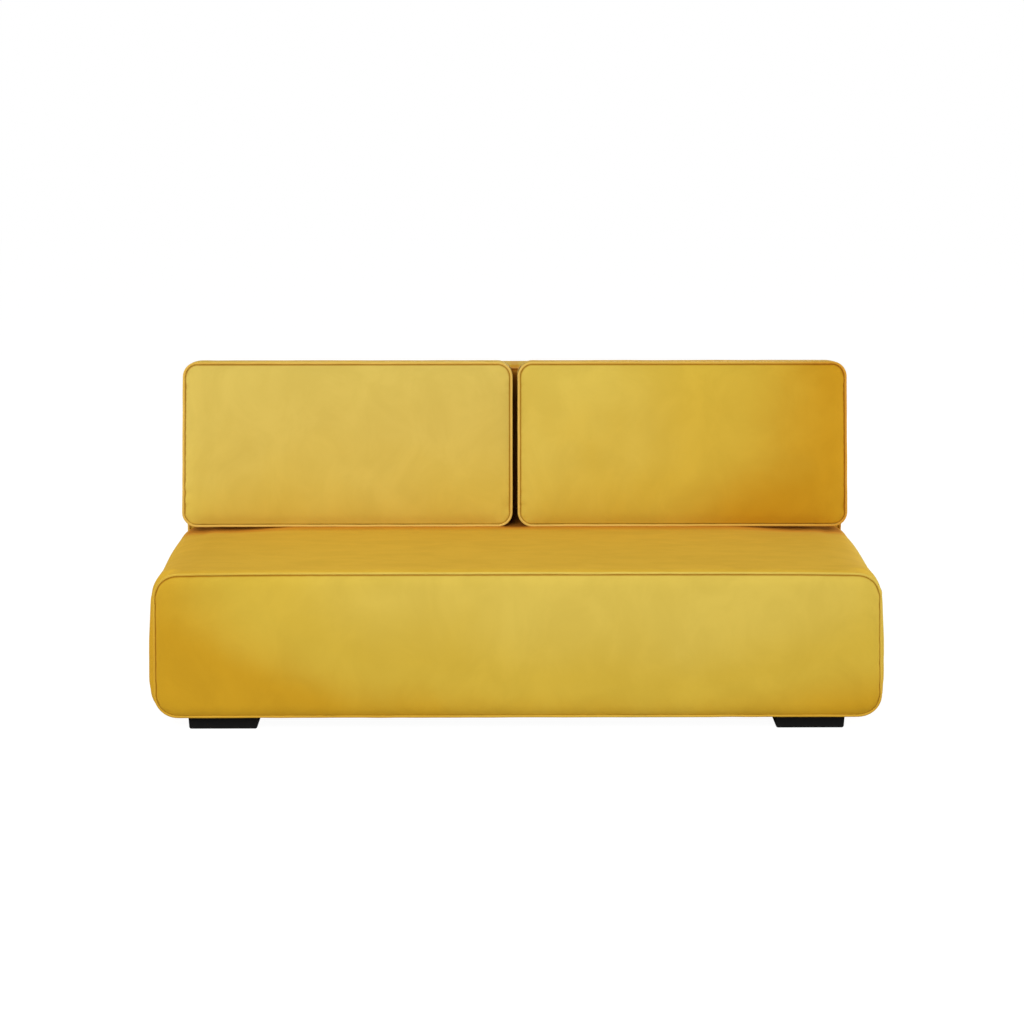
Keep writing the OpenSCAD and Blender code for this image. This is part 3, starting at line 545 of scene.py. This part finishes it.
def put(piece, place):
    """Moves the points from the straight box to their place on the sofa."""
    set_points(piece, place(points_of(piece)))


def smooth_step(value, low, high):
    """Rises smoothly from 0 at low to 1 at high."""
    share = np.clip((value - low) / (high - low), 0, 1)
    return share * share * (3 - 2 * share)


print("helpers for padded pieces are ready")

# %% [markdown]
# ## Piping
#
# Piping is a thin cord wrapped in a strip of the same velvet and sewn into a seam. It is made as by hand:
# a flat rectangle has its corners rounded, its face is deleted so that only the outline is left, the
# outline becomes a curve, and the curve gets a round section. A little noise keeps it from looking like wire.

# %% Helper for piping
PIPING_R = 0.0037
# Noise vectors start from the clock unless a seed is set
noise.seed_set(1)


def piping(name, seam, depth, place, arch=False, seed=0.0):
    """Piping along a seam outline at the given depth. An arch has no stretch along its foot."""
    half, low, high, radius = seam
    deselect()
    bpy.ops.mesh.primitive_plane_add(
        size=1, location=(0, depth, (low + high) / 2), rotation=(math.radians(90), 0, 0)
    )
    piece = bpy.context.object
    piece.name = name
    piece.scale = (2 * half, high - low, 1)
    bpy.ops.object.transform_apply(location=True, rotation=True, scale=True)
    edit_where(piece, "VERT", lambda points: not arch or points[0].z > (low + high) / 2)
    bpy.ops.mesh.bevel(offset=radius, segments=12, affect="VERTICES")
    bpy.ops.mesh.select_all(action="SELECT")
    bpy.ops.mesh.delete(type="ONLY_FACE")
    if arch:
        edit_where(piece, "EDGE", lambda points: all(p.z < low + 0.001 for p in points))
        bpy.ops.mesh.delete(type="EDGE")
    for _ in range(8):
        edit_where(piece, "EDGE", lambda points: (points[0] - points[1]).length > 0.012)
        bpy.ops.mesh.subdivide(number_cuts=1)
    bpy.ops.object.mode_set(mode="OBJECT")
    bpy.ops.object.convert(target="CURVE")
    piece = bpy.context.object
    piece.data.bevel_depth = PIPING_R
    piece.data.bevel_resolution = 3
    piece.data.use_fill_caps = True
    bpy.ops.object.convert(target="MESH")
    piece = bpy.context.object
    piece.name = piece.data.name = name
    places = points_of(piece)
    shift = Vector((seed, 0, -seed))
    waves = np.array([noise.noise_vector(Vector(p) * 14 + shift) for p in places])
    set_points(piece, place(places + 0.0006 * waves))
    print(name, len(piece.data.polygons), "faces")
    return piece


# %% [markdown]
# ## The seat block
#
# The block is one deep upholstered form. Its front panel meets the long wrap at a piped seam, and the wrap
# swells past that seam on the sides. The photograph shows the seam sagging a little towards the corners,
# and the top sinking under the cushions, most under their outer ends, where one looks into a dark wedge.

# %% Where the seat's points go
SEAM_Y = -0.4594
SEAT_D = 0.770
# The front seam: its half width, foot, top and corner radius
SEAT_SEAM = (0.979, 0.0412, 0.4405, 0.062)
# The wrap's lower corners: how far out and up their centre lies, and their radius
LOWER_X, LOWER_Z, LOWER_R = 0.926, 0.111, 0.071
# How far the top goes down: under the cushions everywhere, towards their outer ends and at the very edge;
# along the shoulders; and the front seam at its corners
SINK_ALL, SINK_OUTER, SINK_EDGE = 0.003, 0.012, 0.004
SHOULDER_DROP, SEAM_SAG = 0.011, 0.005


def on_seat(p):
    """From the straight box to its place. The block widens a little downwards, its front seam sags towards
    the top corners and reaches further out on the right, its lower corners are full, its shoulders fall
    away behind the seam, and its top sinks under the cushions."""
    q = p.copy()
    depth, high = p[:, 1], np.clip((p[:, 2] - 0.043) / 0.3975, 0, 1)
    front = 1 - smooth_step(depth, 0, 0.06)
    wide = p[:, 0] * (1 + 0.018 * (0.25 - p[:, 2]))
    right = (0.0085 - 0.0135 * (p[:, 2] - 0.05)) * front * smooth_step(p[:, 0], 0.5, 0.977)
    widest = 0.9965 - 0.07 * np.clip(p[:, 2] - 0.22, 0, 0.15)
    wide += np.minimum(right, np.maximum(widest - wide, 0))
    out = np.abs(wide)
    corner = LOWER_X + np.sqrt(np.maximum(LOWER_R ** 2 - np.maximum(LOWER_Z - p[:, 2], 0) ** 2, 0))
    on_wrap = smooth_step(outline(p, SEAT_SEAM)[0], -0.02, -0.005) * smooth_step(depth, 0, 0.03)
    full = np.maximum(corner - out, 0) * smooth_step(out, 0.89, 0.925) * smooth_step(0.17 - p[:, 2], 0, 0.06)
    q[:, 0] = wide + np.sign(wide) * full * on_wrap
    edge = smooth_step(out, 0.90, 0.965)
    outer = smooth_step(out, 0.62, 0.84) * (1 - edge)
    sunk = smooth_step(depth, 0.42, 0.62) * (SINK_ALL + SINK_OUTER * outer)
    sunk += smooth_step(depth, 0.52, 0.68) * SINK_EDGE * edge
    shoulder = SHOULDER_DROP * smooth_step(out, 0.87, 0.965) * smooth_step(depth, 0, 0.26)
    shoulder *= smooth_step(p[:, 2], 0.3, 0.42)
    sag = SEAM_SAG * np.minimum(out / 0.977, 1.02) ** 6 * (1 - 0.7 * smooth_step(depth, 0.1, 0.5))
    q[:, 2] = p[:, 2] - high * (sag + sunk) - shoulder
    q[:, 1] = SEAM_Y + np.minimum(depth, SEAT_D - 0.001)
    return q


# %% Seat cover and its piping
# The box is made two centimetres too long, and on_seat flattens its end where it meets the back
seat = rounded_box("seat_cover", SEAT_SEAM, SEAT_D + 0.020, SEAT_SEAM[1], 0.0155)
p = points_of(seat)
out = outline(p, SEAT_SEAM)[0]
rear, under = p[:, 1] > SEAT_D - 0.008, p[:, 2] < 0.046
held = (p[:, 1] < 0.008) & (out > -0.009) | rear | under
side_room = 0.0195 - 0.055 * np.clip(p[:, 2] - 0.25, 0, 0.12) * (1 - 1.5 * smooth_step(p[:, 1], 0.05, 0.6))
up_room = np.where(p[:, 2] > 0.2, 0.0055, 0.001)
limits = np.column_stack([side_room, np.full(len(p), 0.0112), up_room])
swell(seat, held, limits)
apply_modifier(seat, "SUBSURF", levels=1, render_levels=1)
draw_in(seat, SEAT_SEAM, 0.0, 0.0065, 0.034)
soften(seat, SEAT_SEAM, (0.0,), 0.0009, 0.0006, 1.0)
put(seat, on_seat)
p = points_of(seat)
# Painted shade on the seat top in front of and under the cushions' front edge, deepest in the gap between them
# and stopping short of the ends
between = 1 - smooth_step(np.abs(p[:, 0]), 0.02, 0.06)
shade_under_cushions = 0.4 * smooth_step(p[:, 1], 0.06, 0.13)
shade_under_cushions += (0.2 + 0.4 * between) * smooth_step(p[:, 1], 0.11, 0.15)
shade_under_cushions *= smooth_step(p[:, 2], 0.36, 0.42) * (1 - smooth_step(np.abs(p[:, 0]), 0.955, 0.99))
keep(seat, "painted_shade", shade_under_cushions)
finish_piece(
    seat, "sofa", seat_velvet, "velvet",
    "seat_front_cover", "seat_wrap", "seat_foam", "seat_front_pad", "seat_side_pads", "seat_rear_lining",
)
seat_piping = piping("seat_piping", SEAT_SEAM, 0.0, on_seat, seed=3.0)
finish_piece(seat_piping, "sofa", seat_piping_velvet, "piping", "seat_front_piping")
print("seat cover", len(seat.data.polygons), "faces")

# %% [markdown]
# ## The back
#
# Behind the seat the back stands upright, and above the seat its front leans back by four degrees while its
# rear stays upright. It is swelled as a straight slab, and a last move shears the slab into that shape.

# %% Where the back's points go
BACK_Y, REAR_Y, SEAT_TOP = 0.3106, 0.4676, 0.445
BACK_D = REAR_Y - BACK_Y
BACK_TOP_V, BACK_LOW = 0.4405, 0.0402
LEAN = math.radians(4)
# The outline runs on far below the floor, because the back has no seam along its foot
BACK_SEAM = (0.980, -2.0, BACK_TOP_V, 0.053)


def on_back(p):
    """From the straight slab to the leaning back; heights are above the seat."""
    above = np.maximum(p[:, 2], 0)
    front_y = BACK_Y + above * math.sin(LEAN)
    q = p.copy()
    q[:, 1] = front_y + p[:, 1] / BACK_D * (REAR_Y - front_y)
    q[:, 2] = np.maximum(SEAT_TOP + np.where(p[:, 2] > 0, p[:, 2] * math.cos(LEAN), p[:, 2]), BACK_LOW)
    return q


# %% Back cover
# The slab is made two centimetres too long, and on_back flattens its foot
back = rounded_box("back_cover", BACK_SEAM, BACK_D, BACK_LOW - 0.020 - SEAT_TOP, 0.0145, round_low=False)
p = points_of(back)
out = outline(p, BACK_SEAM)[0]
front_edge, rear_edge = p[:, 1] < 0.008, p[:, 1] > BACK_D - 0.008
held = (front_edge | rear_edge) & (out > -0.009)
held |= front_edge & (p[:, 2] < 0.01) | (p[:, 2] < 0.046 - SEAT_TOP)
depth_room = np.where(p[:, 1] < BACK_D / 2, 0.009, 0.003)
limits = np.column_stack([np.full(len(p), 0.007), depth_room, np.full(len(p), 0.007)])
swell(back, held, limits)
apply_modifier(back, "SUBSURF", levels=1, render_levels=1)
for depth in (0.0, BACK_D):
    draw_in(back, BACK_SEAM, depth, 0.0061, 0.034)
soften(back, BACK_SEAM, (0.0, BACK_D), 0.0009, 0.0006, 4.0)
put(back, on_back)

# %% The back's shade and piping
def shade_gap(piece):
    """Painted shade down the middle of the front, in the gap between the two cushions, deepening from the top
    down.
    """
    p = points_of(piece)
    middle = 0.95 * (1 - smooth_step(np.abs(p[:, 0]), 0.008, 0.02))
    keep(piece, "painted_shade", middle * smooth_step(0.907 - p[:, 2], 0, 0.045) * (p[:, 1] < REAR_Y - 0.03))


shade_gap(back)
finish_piece(
    back, "sofa", back_velvet, "velvet",
    "back_front_cover", "back_wrap", "back_rear_cover", "back_foam", "back_side_pads", "back_top_pad",
)
for name, depth, low in (("back_front_piping", 0.0, -0.075), ("back_rear_piping", BACK_D, -0.405)):
    seam = (BACK_SEAM[0], low, BACK_TOP_V, BACK_SEAM[3])
    rope = piping(name + "_rope", seam, depth, on_back, arch=True, seed=5.0 + depth)
    # The piping in the gap gets the same painted shade
    shade_gap(rope)
    finish_piece(rope, "sofa", piping_velvet, "piping", name)
print("back cover", len(back.data.polygons), "faces")

# %% [markdown]
# ## The back cushions
#
# Two loose cushions lie against the back on their long edges. Each has a front and a rear panel joined by a
# boxing strip, with piping in both seams and a zip in the strip underneath. The front panel is the fullest,
# and the rear and the underside stay flat, because they rest on the back and on the seat.

# %% Cushions and their piping
CUSHION_X, CUSHION_Y, CUSHION_Z = 0.4885, 0.14407, 0.4453
CUSHION_T = 0.154
CUSHION_SEAM = (0.4775, 0.0, 0.478, 0.040)
# How far the outer side has settled outwards at the foot, and by how much less at the top; how far the
# underside is drawn up at the zip, and how far the top falls to the rear
SETTLED, LESS_ABOVE, RAISED, FALLS = 0.008, 0.011, 0.0035, 0.006


def make_cushion(side, sign, material, seed):
    """One cushion body with its two loops of piping."""
    half, low, high, radius = CUSHION_SEAM

    def on_sofa(p):
        """Leans the cushion on the back. Its outer side has settled outwards at the bottom, its underside is
        drawn up at the zip, and its top falls away to the rear."""
        q = p.copy()
        outer = np.clip(0.5 + 0.5 * sign * p[:, 0] / half, 0, 1)
        q[:, 0] = p[:, 0] + sign * (CUSHION_X + outer * (SETTLED - LESS_ABOVE * p[:, 2] / high))
        q[:, 1] = CUSHION_Y + p[:, 1] + p[:, 2] * math.sin(LEAN)
        falls = FALLS * smooth_step(p[:, 2], 0.2, high) * p[:, 1] / CUSHION_T
        raised = RAISED * (1 - smooth_step(p[:, 2], 0.004, 0.03))
        raised *= smooth_step(np.minimum(p[:, 1], CUSHION_T - p[:, 1]), 0.006, 0.03)
        q[:, 2] = CUSHION_Z + p[:, 2] * (math.cos(LEAN) - p[:, 1] / high * math.sin(LEAN)) + raised - falls
        return q

    body = side + "_cushion"
    piece = rounded_box(body + "_pad", CUSHION_SEAM, CUSHION_T, 0.001, 0.0083)
    p = points_of(piece)
    out = outline(p, CUSHION_SEAM)[0]
    rear = p[:, 1] > CUSHION_T - 0.0045
    near_seam = (p[:, 1] < 0.0045) | (p[:, 1] > CUSHION_T - 0.0045)
    held = (near_seam & (out > -0.006)) | rear | (p[:, 2] < 0.004)
    side_room = np.where(sign * p[:, 0] > 0, 0.004, 0.002)
    panel_room = 0.0245 * (0.5 + 0.5 * smooth_step(-out, 0, 0.13))
    up_room = 0.0015 + 0.004 * (p[:, 0] / half) ** 2
    swell(piece, held, np.column_stack([side_room, panel_room, up_room]), 1.6)
    panel = piece.vertex_groups.new(name="panel")
    panel.add([int(i) for i in np.flatnonzero((p[:, 1] < 0.03) & (out < -0.009))], 1.0, "REPLACE")
    apply_modifier(piece, "SMOOTH", factor=0.5, iterations=50, vertex_group="panel")
    piece.vertex_groups.clear()
    apply_modifier(piece, "SUBSURF", levels=1, render_levels=1)
    for depth in (0.0, CUSHION_T):
        draw_in(piece, CUSHION_SEAM, depth, 0.003, 0.016)
    soften(piece, CUSHION_SEAM, (0.0, CUSHION_T), 0.0014, 0.0004, seed)
    p = points_of(piece)
    # Painted shade on the inner side, which faces the gap between the cushions, and on the underside
    inner_side_shade = smooth_step(-sign * p[:, 0], half - 0.010, half - 0.004)
    below = smooth_step(0.012 - p[:, 2], 0, 0.006)
    keep(piece, "painted_shade", np.maximum(inner_side_shade, below) * smooth_step(p[:, 1], 0.006, 0.04))
    put(piece, on_sofa)
    finish_piece(
        piece, body, material, "cushion_velvet",
        *[body + part for part in ("_filling", "_front", "_boxing", "_rear", "_zip_band")],
    )
    for part, depth in (("_front_piping", 0.0), ("_rear_piping", CUSHION_T)):
        rope = piping(body + part + "_rope", CUSHION_SEAM, depth, on_sofa, seed=seed + depth)
        finish_piece(rope, body, piping_velvet, "piping", body + part)
    print(body, len(piece.data.polygons), "faces")


make_cushion("left", -1, left_velvet, 7.0)
make_cushion("right", 1, right_velvet, 11.0)

# %% [markdown]
# ## The zips
#
# Each cushion closes with a zip along its underside: a woven tape, a row of interlocking teeth and a
# slider with a flat pull. The slider rides on its own body, because it really slides. One pair of teeth is
# modelled, and an array repeats it along the tape.

# %% Zip cloth and metal
def woven(name, light, dark, pitch, roughness=0.8, across=(1, 1)):
    """A plain weave: two crossing sets of ribs, pitch apart in metres, with across their strengths."""
    material, nodes, link = new_material(name)
    surface = shader(nodes, link, roughness, 0.2)
    ribs = []
    for axis in ("X", "Y"):
        wave = nodes.new("ShaderNodeTexWave")
        wave.bands_direction = axis
        wave.inputs["Scale"].default_value = 0.314 / pitch
        wave.inputs["Distortion"].default_value = 0.4
        link(placed(nodes, link), wave.inputs["Vector"])
        ribs.append(wave.outputs["Fac"])
    weave = weighed(nodes, link, ribs[0], 0.5 * across[0], ribs[1], 0.5 * across[1])
    fibres = cloud(nodes, link, placed(nodes, link), 900, 3.0)
    share = weighed(nodes, link, weave, 0.75, fibres, 0.35)
    link(ramp(nodes, link, share, [(0.3, rgb(dark)), (0.7, rgb(light))]), surface.inputs["Base Color"])
    bumps(nodes, link, surface, [(weave, 0.5, pitch / 3), (fibres, 0.2, 0.0002)])
    return material


def metal(name, colour, roughness, spots=0.12, grain=140):
    """Plated or oiled steel: a slightly uneven sheen with fine scratches."""
    material, nodes, link = new_material(name)
    surface = shader(nodes, link, roughness, 0.5, 0.92)
    uneven = cloud(nodes, link, placed(nodes, link), grain, 4.0, 0.6)
    dull = tuple(c * (1 - 2.4 * spots) for c in rgb(colour)[:3]) + (1,)
    link(ramp(nodes, link, uneven, [(0.35, dull), (0.6, rgb(colour))]), surface.inputs["Base Color"])
    spread = nodes.new("ShaderNodeMapRange")
    spread.inputs["To Min"].default_value = roughness - spots
    spread.inputs["To Max"].default_value = roughness + spots
    link(uneven, spread.inputs["Value"])
    link(spread.outputs[0], surface.inputs["Roughness"])
    scratches = cloud(nodes, link, placed(nodes, link, (0, 0, 0), (1, 12, 12)), 260, 3.0, 0.7)
    bumps(nodes, link, surface, [(scratches, 0.15, 0.0002)])
    return material


zip_cloth = woven("zip_tape_cloth", "#a8842e", "#80601c", 0.0009)
zip_brass = metal("zip_metal", "#b39a62", 0.38)
print("finishes", zip_cloth.name, "and", zip_brass.name)

# %% Tapes with their teeth
TOOTH_PITCH = 0.0026


def make_zip(side):
    """The tape with its teeth, in the zip's box."""
    low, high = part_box(side + "_cushion_zip")
    middle = (low.y + high.y) / 2
    tape_low = high.z - 0.001
    piece = add_box(side + "_zip_tape", (low.x, low.y, tape_low), high)
    edit_where(piece, "EDGE", lambda points: abs(points[0].x - points[1].x) > 0.5)
    bpy.ops.mesh.bevel(offset=0.0004, segments=2, affect="EDGES")
    bpy.ops.object.mode_set(mode="OBJECT")
    piece.data.materials.append(zip_cloth)
    tooth_end = (low.x + 0.0013, middle + 0.002, high.z - 0.0006)
    tooth = add_box(side + "_tooth", (low.x, middle - 0.0005, low.z), tooth_end)
    edit_where(tooth, "EDGE", lambda points: points[0].z < tape_low and points[1].z < tape_low)
    bpy.ops.mesh.bevel(offset=0.0002, segments=1, affect="EDGES")
    bpy.ops.mesh.select_all(action="SELECT")
    bpy.ops.mesh.duplicate()
    between = (low.x + TOOTH_PITCH / 2, middle, low.z)
    bpy.ops.transform.rotate(value=math.pi, orient_axis="Z", center_override=between)
    bpy.ops.object.mode_set(mode="OBJECT")
    tooth.data.materials.append(zip_brass)
    count = int((high.x - low.x) / TOOTH_PITCH)
    apply_modifier(
        tooth, "ARRAY", count=count, use_relative_offset=False, use_constant_offset=True,
        constant_offset_displace=(TOOTH_PITCH, 0, 0)
    )
    make_active(piece)
    tooth.select_set(True)
    bpy.ops.object.join()
    finish_piece(piece, side + "_cushion", zip_cloth, "zip_tape", side + "_cushion_zip")
    print(piece.name, "has", count, "pairs of teeth")


# %% Sliders
def make_slider(side, towards):
    """The slider's body with its bridge and pull. towards is the way its nose points, +1 or -1 along x."""
    low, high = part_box(side + "_zip_slider")
    middle, start = (low.y + high.y) / 2, high.x if towards > 0 else low.x
    body_rear = start - towards * 0.014
    body = add_box(
        side + "_slider", (min(start, body_rear), low.y, low.z + 0.0004),
        (max(start, body_rear), high.y, high.z)
    )
    edit_where(body, "VERT", lambda points: (points[0].x - start) * towards > -0.001)
    bpy.ops.transform.resize(value=(1, 0.62, 1), center_override=(start, middle, low.z))
    bpy.ops.mesh.select_all(action="SELECT")
    bpy.ops.mesh.bevel(offset=0.0004, segments=2, affect="EDGES")
    bpy.ops.object.mode_set(mode="OBJECT")
    far = low.x if towards > 0 else high.x
    near = body_rear + towards * 0.004
    pull_low = (min(far, near), middle - 0.003, low.z)
    pull = add_box(side + "_pull", pull_low, (max(far, near), middle + 0.003, low.z + 0.0008))
    edit_where(pull, "EDGE", lambda points: abs(points[0].z - points[1].z) > 0.0005)
    bpy.ops.mesh.bevel(offset=0.0022, segments=5, affect="EDGES")
    bpy.ops.object.mode_set(mode="OBJECT")
    deselect()
    bpy.ops.mesh.primitive_cylinder_add(
        vertices=24, radius=0.0014, depth=0.004, location=(far + towards * 0.005, middle, low.z)
    )
    hole = bpy.context.object
    apply_modifier(pull, "BOOLEAN", operation="DIFFERENCE", object=hole)
    bpy.data.objects.remove(hole)
    apply_modifier(pull, "BEVEL", width=0.00015, segments=1, limit_method="ANGLE")
    bridge = add_box(
        side + "_bridge", (body_rear + towards * 0.007 - 0.003, middle - 0.0012, low.z - 0.0002),
        (body_rear + towards * 0.007 + 0.003, middle + 0.0012, low.z + 0.0008)
    )
    apply_modifier(bridge, "BEVEL", width=0.0003, segments=2, limit_method="ANGLE")
    make_active(body)
    pull.select_set(True)
    bridge.select_set(True)
    bpy.ops.object.join()
    finish_piece(body, side + "_slider", zip_brass, "zip_metal", side + "_zip_slider")
    apply_modifier(body, "WEIGHTED_NORMAL")
    print(body.name, len(body.data.polygons), "faces")


for side, towards in (("left", -1), ("right", 1)):
    make_zip(side)
    make_slider(side, towards)

# %% [markdown]
# ## Inside and underneath
#
# Nobody sees these, but a sofa that is opened shows them: black spunbond cloth stapled over both undersides,
# a grey felt that keeps the springs from the foam, and woven elastic straps up the back.

# %% Dust covers, felt and webbing
def nonwoven(name, light, dark, dots, roughness=0.95):
    """Pressed fibres with the little welded dots of spunbond cloth, dots apart in metres."""
    material, nodes, link = new_material(name)
    surface = shader(nodes, link, roughness, 0.15)
    cells = nodes.new("ShaderNodeTexVoronoi")
    cells.inputs["Scale"].default_value = 1 / dots
    cells.inputs["Randomness"].default_value = 0.25
    link(placed(nodes, link), cells.inputs["Vector"])
    fibres = cloud(nodes, link, placed(nodes, link), 420, 5.0, 0.7, 1.2)
    share = weighed(nodes, link, cells.outputs["Distance"], 0.5, fibres, 0.7)
    link(ramp(nodes, link, share, [(0.35, rgb(dark)), (0.75, rgb(light))]), surface.inputs["Base Color"])
    bumps(nodes, link, surface, [(cells.outputs["Distance"], 0.3, 0.0004), (fibres, 0.3, 0.0003)])
    return material


spunbond = nonwoven("spunbond_lining", "#262628", "#0e0e10", 0.0016)
felt_grey = nonwoven("felt_grey", "#8a8883", "#55534f", 0.004)
strap_cloth = woven("strap_cloth", "#5a4c3c", "#2c2620", 0.003, across=(1.2, 0.8))


def cloth_layer(name, node, thick, ripple, material, slot):
    """A flat cloth in a node's box, with slow ripples and its own thickness."""
    low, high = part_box(node)
    wide, long = high.x - low.x, high.y - low.y
    deselect()
    bpy.ops.mesh.primitive_grid_add(
        x_subdivisions=90, y_subdivisions=36, size=1,
        location=((low.x + high.x) / 2, (low.y + high.y) / 2, (low.z + high.z) / 2)
    )
    piece = bpy.context.object
    piece.name = piece.data.name = name
    piece.scale = (wide, long, 1)
    bpy.ops.object.transform_apply(location=True, rotation=True, scale=True)
    apply_modifier(piece, "SOLIDIFY", thickness=thick, offset=0)
    places = points_of(piece)
    places[:, 2] += ripple * np.array([noise.noise(Vector((p[0] * 4, p[1] * 4, 1))) for p in places])
    set_points(piece, places)
    finish_piece(piece, "sofa", material, slot, node)
    print(name, len(piece.data.polygons), "faces")
    return piece


for name, node, thick, ripple, material, slot, held, below in (
    ("seat_dust_cloth", "seat_dust_cover", 0.0006, 0.0002, spunbond, "lining", "stretched", "front_board"),
    ("back_dust_cloth", "back_dust_cover", 0.0006, 0.0002, spunbond, "lining", "stretched", "back_bottom_rail"),
    ("spring_felt_cloth", "spring_felt", 0.003, 0.0006, felt_grey, "felt", "laid", "seat_springs"),
):
    cloth_layer(name, node, thick, ripple, material, slot)

# The seat's rear is closed with the same cloth
seat.data.materials.append(spunbond)
for face in seat.data.polygons:
    x, y, z = face.center
    if face.normal.y > 0.9 and y > SEAM_Y + SEAT_D - 0.002 and abs(x) < 0.955 and 0.06 < z < 0.41:
        face.material_index = 1

# %% Straps
# Their number, width, thickness, spacing, and how far they lie behind the back's front
STRAPS, STRAP_W, STRAP_T, STRAP_STEP, STRAP_BEHIND = 10, 0.070, 0.002, 0.185, 0.0453
strap_top = (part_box("back_webbing")[1].z - SEAT_TOP) / math.cos(LEAN)
strap = add_box("back_straps", (-STRAP_W / 2, 0, 0.0031), (STRAP_W / 2, STRAP_T, strap_top))
edit_where(strap, "EDGE", lambda points: abs(points[0].z - points[1].z) > 0.1)
bpy.ops.mesh.bevel(offset=0.0006, segments=2, affect="EDGES")
bpy.ops.object.mode_set(mode="OBJECT")
p = points_of(strap)
p[:, 0] -= STRAP_STEP * (STRAPS - 1) / 2
behind = STRAP_BEHIND + p[:, 1]
leaning = np.column_stack([
    p[:, 0],
    BACK_Y + behind * math.cos(LEAN) + p[:, 2] * math.sin(LEAN),
    SEAT_TOP + p[:, 2] * math.cos(LEAN) - behind * math.sin(LEAN),
])
set_points(strap, leaning)
apply_modifier(
    strap, "ARRAY", count=STRAPS, use_relative_offset=False, use_constant_offset=True,
    constant_offset_displace=(STRAP_STEP, 0, 0)
)
finish_piece(strap, "sofa", strap_cloth, "webbing", "back_webbing")
print("straps", len(strap.data.polygons), "faces")

# %% [markdown]
# ## The hard parts
#
# Boards, springs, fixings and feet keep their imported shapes, because those are exact. They get sawn pine
# with its grain along each board, brown hardboard, oiled spring steel, zinc plate, and moulded black plastic
# with a fine grain that is rubbed paler near the floor.

# %% Wood, steel and the feet
def pine(name, along, shift):
    """Sawn pine with its grain along an axis."""
    material, nodes, link = new_material(name)
    surface = shader(nodes, link, 0.62, 0.3)
    stretch = [1 if axis == along else 14 for axis in "XYZ"]
    growth = cloud(nodes, link, placed(nodes, link, shift, stretch), 1.6, 4.0, 0.55, 1.4)
    fibre = cloud(nodes, link, placed(nodes, link, shift, [s * s / 6 for s in stretch]), 9, 5.0, 0.7)
    share = weighed(nodes, link, growth, 0.7, fibre, 0.35)
    colours = [(0.34, rgb("#a87a45")), (0.5, rgb("#cfa56c")), (0.72, rgb("#e3c391"))]
    link(ramp(nodes, link, share, colours), surface.inputs["Base Color"])
    bumps(nodes, link, surface, [(growth, 0.15, 0.0006), (fibre, 0.3, 0.0003)])
    return material


def hardboard(name):
    """Pressed brown fibre board with a faint fibrous mottle."""
    material, nodes, link = new_material(name)
    surface = shader(nodes, link, 0.7, 0.25)
    fibre = cloud(nodes, link, placed(nodes, link), 240, 5.0, 0.65, 0.8)
    colours = [(0.3, rgb("#5e4028")), (0.7, rgb("#8d6541"))]
    link(ramp(nodes, link, fibre, colours), surface.inputs["Base Color"])
    bumps(nodes, link, surface, [(fibre, 0.25, 0.0003)])
    return material


def moulded(name):
    """Near-black plastic with a spark-eroded grain, rubbed paler near the floor."""
    material, nodes, link = new_material(name)
    surface = shader(nodes, link, 0.6, 0.12)
    grain = cloud(nodes, link, placed(nodes, link), 700, 3.0, 0.6)
    height = nodes.new("ShaderNodeSeparateXYZ")
    link(placed(nodes, link, (0, 0, 0), (1, 1, 40)), height.inputs[0])
    rubbed = cloud(nodes, link, placed(nodes, link), 55, 4.0, 0.65)
    share = weighed(nodes, link, height.outputs["Z"], 0.6, rubbed, 0.7)
    colours = [(0.25, rgb("#161615")), (0.6, rgb("#0b0b0a")), (0.9, rgb("#080808"))]
    link(ramp(nodes, link, share, colours), surface.inputs["Base Color"])
    bumps(nodes, link, surface, [(grain, 0.25, 0.0002)])
    return material


# %% Finishes for the hard parts
finishes = {
    pine("pine_along_x", "X", (0.2, 0.5, 0.1)): (
        "front_board", "rear_board", "back_bottom_rail", "back_bolt_rail", "back_webbing_rails",
    ),
    pine("pine_along_y", "Y", (1.2, 0.1, 0.4)): ("left_end_board", "right_end_board", "cross_rails"),
    pine("pine_along_z", "Z", (0.7, 0.9, 0.3)): (
        "corner_blocks", "back_left_board", "back_right_board", "back_mid_post",
    ),
    hardboard("brown_hardboard"): ("back_rear_board",),
    metal("oiled_spring_steel", "#5c5f63", 0.34): ("seat_springs",),
    metal("zinc_plate", "#a9abae", 0.36, 0.1, 60): ("spring_clips", "foot_screws", "back_bolts", "tee_nuts"),
    moulded("moulded_black"): ("front_left_foot", "front_right_foot", "rear_left_foot", "rear_right_foot"),
}
for finish, names in finishes.items():
    for name in names:
        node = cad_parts[name]
        node.data.materials.clear()
        node.data.materials.append(finish)
        if name.endswith("_foot"):
            weld = node.modifiers.new("weld", "WELD")
            weld.merge_threshold = 0.00002
            edges = node.modifiers.new("soft_edges", "BEVEL")
            edges.width, edges.segments, edges.limit_method = 0.0016, 3, "ANGLE"
            edges.angle_limit = math.radians(50)
            edges.harden_normals = True
    print(finish.name, "on", len(names), "nodes")
